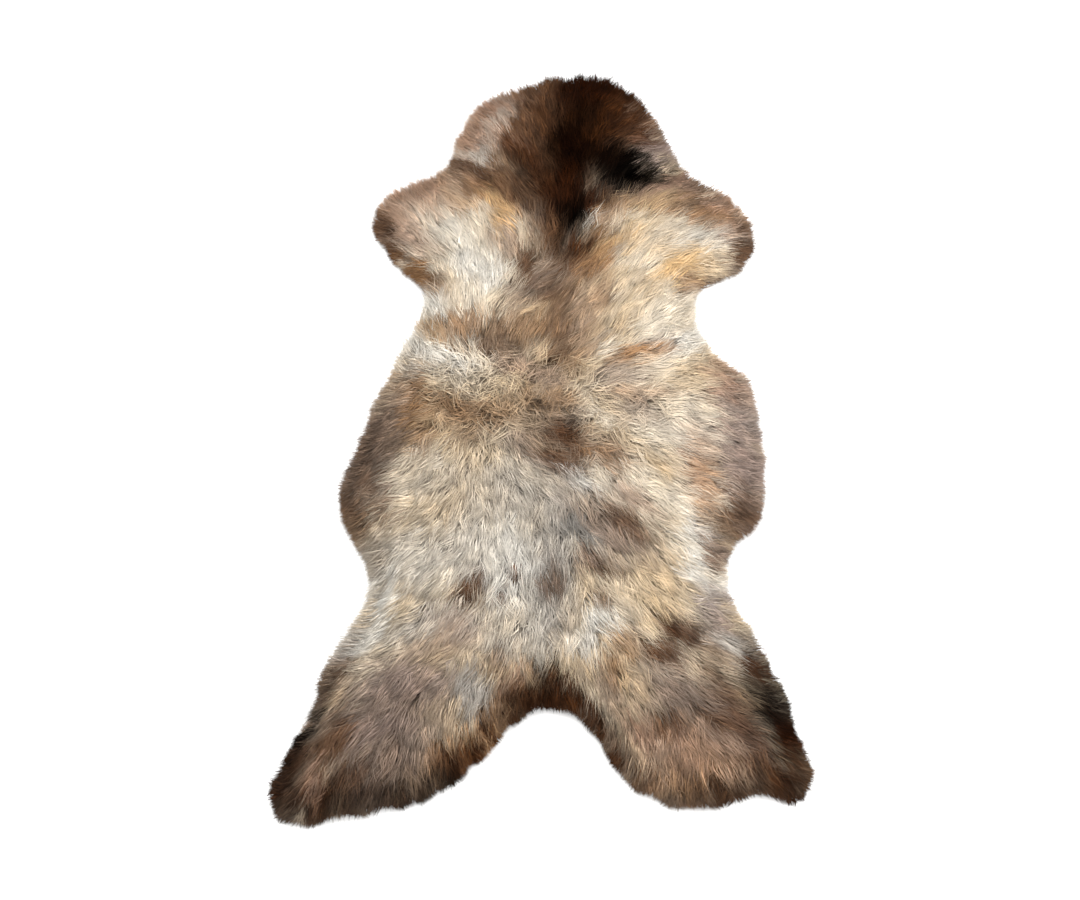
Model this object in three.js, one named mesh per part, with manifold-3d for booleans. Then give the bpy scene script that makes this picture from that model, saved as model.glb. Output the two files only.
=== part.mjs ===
// A natural-shape sheepskin, lying wool side up: one pelt, with its crowned pile of wool
// and the pointed locks that fall past its rim.
// Millimetres, +Z up, +Y towards the head, resting on Z = 0.

import * as THREE from "three";
import { mergeVertices } from "three/addons/utils/BufferGeometryUtils.js";
import Module from "manifold-3d";

const wasm = await Module();
wasm.setup();

// The outline of the wool on the floor, anticlockwise from the top of the head, limb by
// limb. across is +X and along is +Y. lock is how far the longest lock reaches past the slab.
const LIMBS = [
  {
    limb: "head, left half",
    lock: 12,
    edge: [
      { place: "crown, left bump", across: 20, along: 600 },
      { place: "brow", across: -35, along: 577 },
      { place: "ear", across: -78, along: 562 },
      { place: "temple", across: -104, along: 531 },
      { place: "cheek", across: -120, along: 490 },
      { place: "jaw", across: -133, along: 445 },
    ],
  },
  {
    limb: "left foreleg",
    lock: 13,
    edge: [
      { place: "root", across: -155, along: 422 },
      { place: "upper edge", across: -200, along: 404 },
      { place: "upper corner", across: -232, along: 374 },
      { place: "tip", across: -239, along: 345 },
      { place: "lower corner", across: -219, along: 298 },
      { place: "lower edge", across: -196, along: 268 },
      { place: "armpit", across: -164, along: 240 },
    ],
  },
  {
    limb: "left side",
    lock: 14,
    edge: [
      { place: "chest", across: -168, along: 190 },
      { place: "shoulder", across: -196, along: 120 },
      { place: "ribs", across: -222, along: 60 },
      { place: "belly", across: -243, along: -10 },
      { place: "flank, widest", across: -264, along: -72 },
      { place: "flank, low", across: -251, along: -122 },
      { place: "loin", across: -226, along: -158 },
      { place: "waist", across: -218, along: -205 },
    ],
  },
  {
    limb: "left hind leg",
    lock: 19,
    edge: [
      { place: "hip", across: -236, along: -254 },
      { place: "thigh", across: -267, along: -306 },
      { place: "knee", across: -276, along: -350 },
      { place: "hock", across: -301, along: -400 },
      { place: "toe", across: -323, along: -462 },
      { place: "foot", across: -296, along: -487 },
      { place: "sole", across: -240, along: -483 },
      { place: "heel", across: -180, along: -470 },
      { place: "ankle", across: -128, along: -456 },
      { place: "inner leg", across: -78, along: -418 },
      { place: "inner thigh", across: -38, along: -376 },
    ],
  },
  {
    limb: "right hind leg",
    lock: 19,
    edge: [
      { place: "crotch", across: 18, along: -351 },
      { place: "inner thigh", across: 54, along: -370 },
      { place: "inner leg", across: 82, along: -412 },
      { place: "ankle", across: 116, along: -450 },
      { place: "heel", across: 172, along: -468 },
      { place: "sole", across: 220, along: -464 },
      { place: "cleft", across: 262, along: -453 },
      { place: "toe", across: 302, along: -463 },
      { place: "foot", across: 323, along: -436 },
      { place: "hock", across: 311, along: -382 },
      { place: "knee", across: 293, along: -326 },
      { place: "thigh", across: 268, along: -270 },
    ],
  },
  {
    limb: "right side",
    lock: 14,
    edge: [
      { place: "waist", across: 234, along: -200 },
      { place: "loin", across: 246, along: -142 },
      { place: "flank, low", across: 282, along: -108 },
      { place: "belly", across: 296, along: -25 },
      { place: "ribs", across: 288, along: 50 },
      { place: "shoulder, upper corner", across: 279, along: 98 },
      { place: "shoulder", across: 236, along: 130 },
      { place: "chest", across: 213, along: 195 },
    ],
  },
  {
    limb: "right foreleg",
    lock: 13,
    edge: [
      { place: "armpit", across: 225, along: 240 },
      { place: "lower edge", across: 276, along: 266 },
      { place: "lower corner", across: 300, along: 295 },
      { place: "tip", across: 300, along: 335 },
      { place: "upper corner", across: 284, along: 372 },
      { place: "upper edge", across: 252, along: 401 },
      { place: "root", across: 216, along: 422 },
    ],
  },
  {
    limb: "head, right half",
    lock: 12,
    edge: [
      { place: "jaw", across: 194, along: 462 },
      { place: "cheek", across: 172, along: 520 },
      { place: "temple", across: 142, along: 564 },
      { place: "ear", across: 106, along: 590 },
      { place: "crown, right bump", across: 70, along: 604 },
      { place: "parting", across: 40, along: 593 },
    ],
  },
];

// How deep the wool stands on each part of the pelt. Each row holds near its place and
// fades with distance, over its spread.
const PILE = [
  { place: "head", across: 35, along: 510, spread: 110, depth: 38 },
  { place: "neck", across: 30, along: 370, spread: 90, depth: 42 },
  { place: "left foreleg", across: -170, along: 330, spread: 80, depth: 40 },
  { place: "right foreleg", across: 240, along: 325, spread: 80, depth: 40 },
  { place: "left shoulder", across: -120, along: 130, spread: 100, depth: 52 },
  { place: "right shoulder", across: 160, along: 120, spread: 100, depth: 49 },
  { place: "back", across: 10, along: 20, spread: 150, depth: 50 },
  { place: "loin", across: 5, along: -170, spread: 120, depth: 46 },
  { place: "left hind leg", across: -190, along: -370, spread: 110, depth: 45 },
  { place: "right hind leg", across: 200, along: -370, spread: 110, depth: 45 },
];

// The whorls of wool behind the shoulders stand proud of the pile round them.
const WHORLS = [
  { place: "left shoulder", across: -95, along: 105, radius: 70, rise: 7 },
  { place: "right shoulder", across: 150, along: 110, radius: 75, rise: 4 },
  { place: "rump", across: 15, along: -255, radius: 60, rise: 5 },
];

// The spine runs a little to the right of the pelt's middle at the head.
const SPINE = { acrossAtHead: 35, acrossAtTail: 5, alongHead: 600, alongTail: -350 };

// The slab's edge runs inside the outline. There the wool stands EDGE_HEIGHT off the floor,
// and it rises to its full depth over EDGE_ROUNDING.
const EDGE_SPACING = 13;
const EDGE_INSET = 9;
const EDGE_HEIGHT = 9;
const EDGE_ROUNDING = 46;

// The grid of the wool's top, which is cut to the outline from a block under it.
const GRID_CELL = 19;
const GRID_MARGIN = 40;
const BLOCK_DEPTH = 60;
const CUT_HEIGHT = 120;

// Tufts lie in rows that run back from the spine by chevron. Each is highest at crest, a
// share of its length, and the valleys between them are dip of a tuft's rise below the pile.
const TUFT = { length: 70, width: 54, rise: 8, chevron: 0.45, crest: 0.8, dip: 0.4 };
const TUFT_WAVER = { sideways: 9, perAlong: 37, down: 8, perAcross: 31 };
const SWELL = { rise: 2.5, length: 95, crossLength: 77 };

// The locks' sizes: lift and drop are a lock's height off the floor at its root and its tip.
const LOW_LOCKS = { count: 165, rootInside: 18, width: 18, height: 16, curl: 6 };
const HIGH_LOCKS = { count: 90, rootInside: 24, width: 19, height: 12, curl: 5, lift: 18, drop: 8 };
const LOW_LOCK_SEED = 100;
const HIGH_LOCK_SEED = 900;
const LOCK_WAIST = 0.7;
const LOCK_LEAN = 0.55;
const LOCK_SHORTEST = 0.6;
const LOCK_MIN_CLEARANCE = 0.7;

/** A repeatable number from 0 to 1 for a whole-number key. */
function scatter(key) {
  const wave = Math.sin(key * 127.1 + 311.7) * 43758.5453;
  return wave - Math.floor(wave);
}

/** The wool's outline as evenly spaced points, each with its outward normal and lock length. */
function edgePoints() {
  const rows = LIMBS.flatMap(({ lock, edge }) => edge.map((row) => ({ ...row, lock })));
  const curve = new THREE.CatmullRomCurve3(
    rows.map(({ across, along, lock }) => new THREE.Vector3(across, along, lock)),
    true,
    "centripetal",
  );
  const count = Math.round(curve.getLength() / EDGE_SPACING);
  return curve.getSpacedPoints(count).slice(0, count).map((point, i) => {
    const tangent = curve.getTangentAt(i / count);
    const normal = new THREE.Vector2(tangent.y, -tangent.x).normalize();
    return { at: new THREE.Vector2(point.x, point.y), normal, lock: point.z };
  });
}

const OUTER_EDGE = edgePoints();
const SLAB_EDGE = OUTER_EDGE.map(({ at, normal }) => at.clone().addScaledVector(normal, -EDGE_INSET));

/** How far a point lies inside the slab's edge: positive inside, negative outside. */
function depthInside(x, y) {
  let nearest = Infinity;
  let inside = false;
  for (let i = 0; i < SLAB_EDGE.length; i += 1) {
    const a = SLAB_EDGE[i];
    const b = SLAB_EDGE[(i + 1) % SLAB_EDGE.length];
    const [dx, dy] = [b.x - a.x, b.y - a.y];
    const share = THREE.MathUtils.clamp(((x - a.x) * dx + (y - a.y) * dy) / (dx * dx + dy * dy), 0, 1);
    nearest = Math.min(nearest, Math.hypot(x - a.x - share * dx, y - a.y - share * dy));
    if (a.y > y !== b.y > y && x < a.x + ((y - a.y) * dx) / dy) inside = !inside;
  }
  return inside ? nearest : -nearest;
}

/** The depth of the pile away from the rim: an average of the PILE rows, weighted by nearness. */
function pileDepth(x, y) {
  let total = 0;
  let weights = 0;
  for (const { across, along, spread, depth } of PILE) {
    const weight = Math.exp(-(((x - across) ** 2 + (y - along) ** 2) / spread ** 2)) + 1e-6;
    total += weight * depth;
    weights += weight;
  }
  return total / weights;
}

/** The extra height of the whorls, a smooth dome over each. */
function whorlRise(x, y) {
  return WHORLS.reduce((sum, { across, along, radius, rise }) => {
    const away = Math.hypot(x - across, y - along) / radius;
    return sum + rise * Math.exp(-away * away);
  }, 0);
}

/** Overlapping tufts in chevron rows either side of the spine, each highest at its tail end. */
function tuftRise(x, y) {
  const headShare = (y - SPINE.alongTail) / (SPINE.alongHead - SPINE.alongTail);
  const spine = THREE.MathUtils.lerp(SPINE.acrossAtTail, SPINE.acrossAtHead, headShare);
  const sideways = x - spine + TUFT_WAVER.sideways * Math.sin(y / TUFT_WAVER.perAlong);
  const waver = TUFT_WAVER.down * Math.sin(x / TUFT_WAVER.perAcross);
  const down = (TUFT.chevron * Math.abs(sideways) - y + waver) / TUFT.length;
  const row = Math.floor(down);
  const column = sideways / TUFT.width + (row % 2) / 2 + scatter(row) / 3;
  const share = down - row;
  const rising = Math.min(share / TUFT.crest, (1 - share) / (1 - TUFT.crest));
  const hump = Math.sin(Math.PI * (column - Math.floor(column))) * Math.sin((Math.PI / 2) * rising);
  const size = 0.5 + 0.8 * scatter(row * 31 + Math.floor(column));
  return TUFT.rise * size * (hump - TUFT.dip);
}

/** Broad uneven swelling of the whole fleece. */
function swellRise(x, y) {
  const bend = Math.sin(x / SWELL.length) + Math.sin(y / SWELL.length);
  return SWELL.rise * Math.sin(2 * bend + x / SWELL.crossLength) * Math.cos(y / SWELL.crossLength);
}

/** The top of the wool: a quarter ellipse in from the edge, up to the pile, with its tufts. */
function woolHeight(x, y) {
  const inside = depthInside(x, y);
  if (inside <= 0) return EDGE_HEIGHT + inside;
  const share = Math.min(inside / EDGE_ROUNDING, 1);
  const shoulder = Math.sqrt(1 - (1 - share) ** 2);
  const crown = pileDepth(x, y) + whorlRise(x, y) + swellRise(x, y) + tuftRise(x, y);
  return EDGE_HEIGHT + (crown - EDGE_HEIGHT) * shoulder;
}

/** A closed mesh as a solid that can be joined and cut. */
function solidOf(geometry) {
  const bare = geometry.index ? geometry.clone() : geometry;
  bare.deleteAttribute("normal");
  bare.deleteAttribute("uv");
  const merged = mergeVertices(bare);
  const mesh = new wasm.Mesh({
    numProp: 3,
    vertProperties: new Float32Array(merged.attributes.position.array),
    triVerts: new Uint32Array(merged.index.array),
  });
  return new wasm.Manifold(mesh);
}

/** A solid back as a mesh geometry. */
function geometryOf(solid) {
  const { vertProperties, triVerts } = solid.getMesh();
  const geometry = new THREE.BufferGeometry();
  geometry.setAttribute("position", new THREE.BufferAttribute(vertProperties, 3));
  geometry.setIndex(new THREE.BufferAttribute(triVerts, 1));
  geometry.computeVertexNormals();
  return geometry;
}

/** A block whose top is the wool's height on a grid of near-equal triangles. */
function lumpyBlock() {
  const box = new THREE.Box2().setFromPoints(SLAB_EDGE).expandByScalar(GRID_MARGIN);
  const rowStep = GRID_CELL * Math.sin(Math.PI / 3);
  const columns = Math.ceil((box.max.x - box.min.x) / GRID_CELL);
  const rows = Math.ceil((box.max.y - box.min.y) / rowStep);
  const positions = [];
  for (let row = 0; row <= rows; row += 1) {
    for (let column = 0; column <= columns; column += 1) {
      const x = box.min.x + (column + (row % 2) / 2) * GRID_CELL;
      const y = box.min.y + row * rowStep;
      positions.push(x, y, Math.max(woolHeight(x, y), -BLOCK_DEPTH / 2));
    }
  }
  const topCount = positions.length / 3;
  for (let i = 0; i < topCount; i += 1) {
    positions.push(positions[3 * i], positions[3 * i + 1], -BLOCK_DEPTH);
  }
  const indices = [];
  const quad = (a, b, c, d) => indices.push(a, b, c, a, c, d);
  const at = (row, column) => row * (columns + 1) + column;
  for (let row = 0; row < rows; row += 1) {
    for (let column = 0; column < columns; column += 1) {
      const [a, b] = [at(row, column), at(row, column + 1)];
      const [d, c] = [at(row + 1, column), at(row + 1, column + 1)];
      const faces = row % 2 ? [a, b, c, a, c, d] : [a, b, d, b, c, d];
      indices.push(...faces);
      indices.push(...faces.map((vertex) => vertex + topCount).reverse());
    }
  }
  for (let column = 0; column < columns; column += 1) {
    const [a, b] = [at(0, column), at(0, column + 1)];
    const [c, d] = [at(rows, column), at(rows, column + 1)];
    quad(b, a, a + topCount, b + topCount);
    quad(c, d, d + topCount, c + topCount);
  }
  for (let row = 0; row < rows; row += 1) {
    const [a, b] = [at(row, 0), at(row + 1, 0)];
    const [c, d] = [at(row, columns), at(row + 1, columns)];
    quad(a, b, b + topCount, a + topCount);
    quad(d, c, c + topCount, d + topCount);
  }
  const geometry = new THREE.BufferGeometry();
  geometry.setAttribute("position", new THREE.Float32BufferAttribute(positions, 3));
  geometry.setIndex(indices);
  return geometry;
}

/** The slab of wool and skin: the lumpy block cut to the outline, flat on the floor. */
function slab() {
  const cutter = new THREE.ExtrudeGeometry(new THREE.Shape(SLAB_EDGE), {
    depth: CUT_HEIGHT,
    bevelEnabled: false,
  });
  return solidOf(lumpyBlock()).intersect(solidOf(cutter));
}

/**
 * One three-sided lock: a flat underside, a ridge on top, and a point.
 * It runs from root along heading, bends sideways by curl, and sinks from lift to drop.
 */
function lock({ root, heading, length, width, height, curl, lift, drop }) {
  const side = new THREE.Vector2(-heading.y, heading.x);
  const stations = [
    { share: 0, thickness: 1 },
    { share: LOCK_WAIST, thickness: LOCK_WAIST },
  ];
  const positions = [];
  const put = (share, sideways, z) => {
    const centre = root.clone().addScaledVector(heading, length * share);
    centre.addScaledVector(side, curl * share * share + sideways);
    positions.push(centre.x, centre.y, z);
  };
  for (const { share, thickness } of stations) {
    const base = THREE.MathUtils.lerp(lift, drop, share);
    put(share, (-width / 2) * thickness, base);
    put(share, (width / 2) * thickness, base);
    put(share, 0, base + height * thickness);
  }
  put(1, 0, drop);
  const indices = [0, 2, 1];
  for (let ring = 0; ring < stations.length - 1; ring += 1) {
    for (let corner = 0; corner < 3; corner += 1) {
      const a = 3 * ring + corner;
      const b = 3 * ring + ((corner + 1) % 3);
      indices.push(a, b, b + 3, a, b + 3, a + 3);
    }
  }
  const [last, tip] = [3 * (stations.length - 1), 3 * stations.length];
  indices.push(last, last + 1, tip, last + 1, last + 2, tip, last + 2, last, tip);
  const geometry = new THREE.BufferGeometry();
  geometry.setAttribute("position", new THREE.Float32BufferAttribute(positions, 3));
  geometry.setIndex(indices);
  return geometry;
}

/** A tier of locks all round the rim, each leaning towards the tail as the wool does. */
function lockTier({ count, rootInside, width, height, curl, lift = 0, drop = 0 }, seed) {
  const tailward = new THREE.Vector2(0, -1);
  const locks = [];
  for (let i = 0; i < count; i += 1) {
    const place = Math.floor(((i + 0.3 * scatter(seed + i)) / count) * OUTER_EDGE.length);
    const { normal, lock: fullReach } = OUTER_EDGE[place];
    const lean = LOCK_LEAN * (normal.dot(tailward) + 1) * (0.6 + 0.4 * scatter(seed + 7 * i));
    const heading = normal.clone().addScaledVector(tailward, lean).normalize();
    const root = SLAB_EDGE[place].clone().addScaledVector(heading, -rootInside);
    const reach = fullReach * (LOCK_SHORTEST + (1 - LOCK_SHORTEST) * scatter(seed + 3 * i));
    const length = rootInside + reach;
    const tip = root.clone().addScaledVector(heading, length);
    if (-depthInside(tip.x, tip.y) < LOCK_MIN_CLEARANCE * reach) continue;
    const bend = curl * (2 * scatter(seed + 5 * i) - 1);
    locks.push(solidOf(lock({ root, heading, length, width, height, curl: bend, lift, drop })));
  }
  return locks;
}

/** The pelt: the slab with both tiers of locks joined on at their roots. */
function pelt() {
  const low = lockTier(LOW_LOCKS, LOW_LOCK_SEED);
  const high = lockTier(HIGH_LOCKS, HIGH_LOCK_SEED);
  const mesh = new THREE.Mesh(
    geometryOf(wasm.Manifold.union([slab(), ...low, ...high])),
    new THREE.MeshStandardMaterial({ color: 0xb09478, roughness: 0.95, metalness: 0 }),
  );
  mesh.name = "pelt";
  return mesh;
}

const sheepskin = new THREE.Group();
sheepskin.add(pelt());

// The origin is the middle of the outline's box, on the floor.
const size = new THREE.Box3().setFromObject(sheepskin);
const middle = size.getCenter(new THREE.Vector3());
sheepskin.position.set(-middle.x, -middle.y, -size.min.z);

export default sheepskin;
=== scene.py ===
"""A natural-shape sheepskin lying wool side up on a pale studio floor.

Lengths are in metres in the part's own frame: +Z up, +Y towards the head, the floor at
Z = 0. The colours and the lie of the wool are charted in the photograph's frame of 1080
by 900 pixels, and PhotoView carries them onto the pelt.
"""

import logging
from collections.abc import Sequence
from dataclasses import dataclass, field
from enum import Enum
from typing import Any

import bpy
import numpy as np
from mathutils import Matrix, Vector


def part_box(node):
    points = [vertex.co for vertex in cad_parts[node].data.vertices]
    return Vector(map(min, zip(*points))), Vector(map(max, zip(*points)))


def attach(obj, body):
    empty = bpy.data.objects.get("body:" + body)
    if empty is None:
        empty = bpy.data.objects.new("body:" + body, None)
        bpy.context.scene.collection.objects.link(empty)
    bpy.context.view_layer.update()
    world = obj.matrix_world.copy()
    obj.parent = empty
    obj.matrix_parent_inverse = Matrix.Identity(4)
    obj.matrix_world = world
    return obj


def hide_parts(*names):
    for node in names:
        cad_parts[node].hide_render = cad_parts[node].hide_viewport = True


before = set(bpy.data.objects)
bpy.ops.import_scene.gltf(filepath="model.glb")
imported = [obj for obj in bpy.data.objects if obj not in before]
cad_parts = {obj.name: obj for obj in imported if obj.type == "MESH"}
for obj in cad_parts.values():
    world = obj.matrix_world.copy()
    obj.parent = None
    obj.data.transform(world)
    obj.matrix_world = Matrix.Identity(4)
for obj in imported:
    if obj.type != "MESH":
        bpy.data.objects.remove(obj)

LOG = logging.getLogger("sheepskin")
PELT_NODE = "pelt"
ROOT_BODY = "root"
TONE_ATTRIBUTE = "wool_tone"
ATLAS_MAP = "OFBake"
MM = 0.001


def srgb(red: int, green: int, blue: int) -> np.ndarray:
    """A display colour from 0 to 255 as linear red, green and blue."""
    share = np.array([red, green, blue]) / 255.0
    return np.where(share <= 0.04045, share / 12.92, ((share + 0.055) / 1.055) ** 2.4)


def soft_step(low: float, high: float, value: np.ndarray) -> np.ndarray:
    """0 below low, 1 above high, and t*t*(3 - 2t) between them."""
    share = np.clip((value - low) / (high - low), 0.0, 1.0)
    return share * share * (3.0 - 2.0 * share)


def unit(vectors: np.ndarray) -> np.ndarray:
    """Vectors along the last axis, each divided by its own length."""
    return vectors / np.maximum(np.linalg.norm(vectors, axis=-1, keepdims=True), 1e-9)


class Tone(Enum):
    """The wool's colours, by the names a wool sorter might give them."""

    BLACK = (4, 2, 1)
    BLACK_BROWN = (20, 7, 3)
    DARK_BROWN = (60, 33, 17)
    BROWN = (88, 58, 37)
    UMBER = (114, 86, 65)
    GREY_BROWN = (128, 110, 96)
    TAUPE = (147, 128, 115)
    MAUVE = (161, 144, 135)
    TAN = (174, 145, 125)
    OCHRE = (156, 124, 94)
    GOLD = (206, 186, 157)
    HONEY = (190, 154, 118)
    STRAW = (221, 192, 150)
    CREAM = (227, 217, 201)
    PALE = (214, 207, 196)
    GREY = (185, 179, 171)
    ASH = (152, 148, 142)
    WHITE = (228, 224, 216)

    def linear(self) -> np.ndarray:
        """The tone as linear red, green and blue."""
        return srgb(*self.value)


@dataclass(frozen=True)
class Patch:
    """One soft-edged patch of colour in the photograph's pixels.

    x and y are its middle, long and short its half-sizes, and turn the angle of its long
    side in degrees, anticlockwise from the photograph's right.
    """

    place: str
    x: float
    y: float
    long: float
    short: float
    turn: float
    tone: Tone
    strength: float


# The darker patches along the rim, on the flanks' and legs' outer edges and the feet, are partly the
# wool's own colour and partly painted shade where the wool turns down over the rim.
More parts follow.
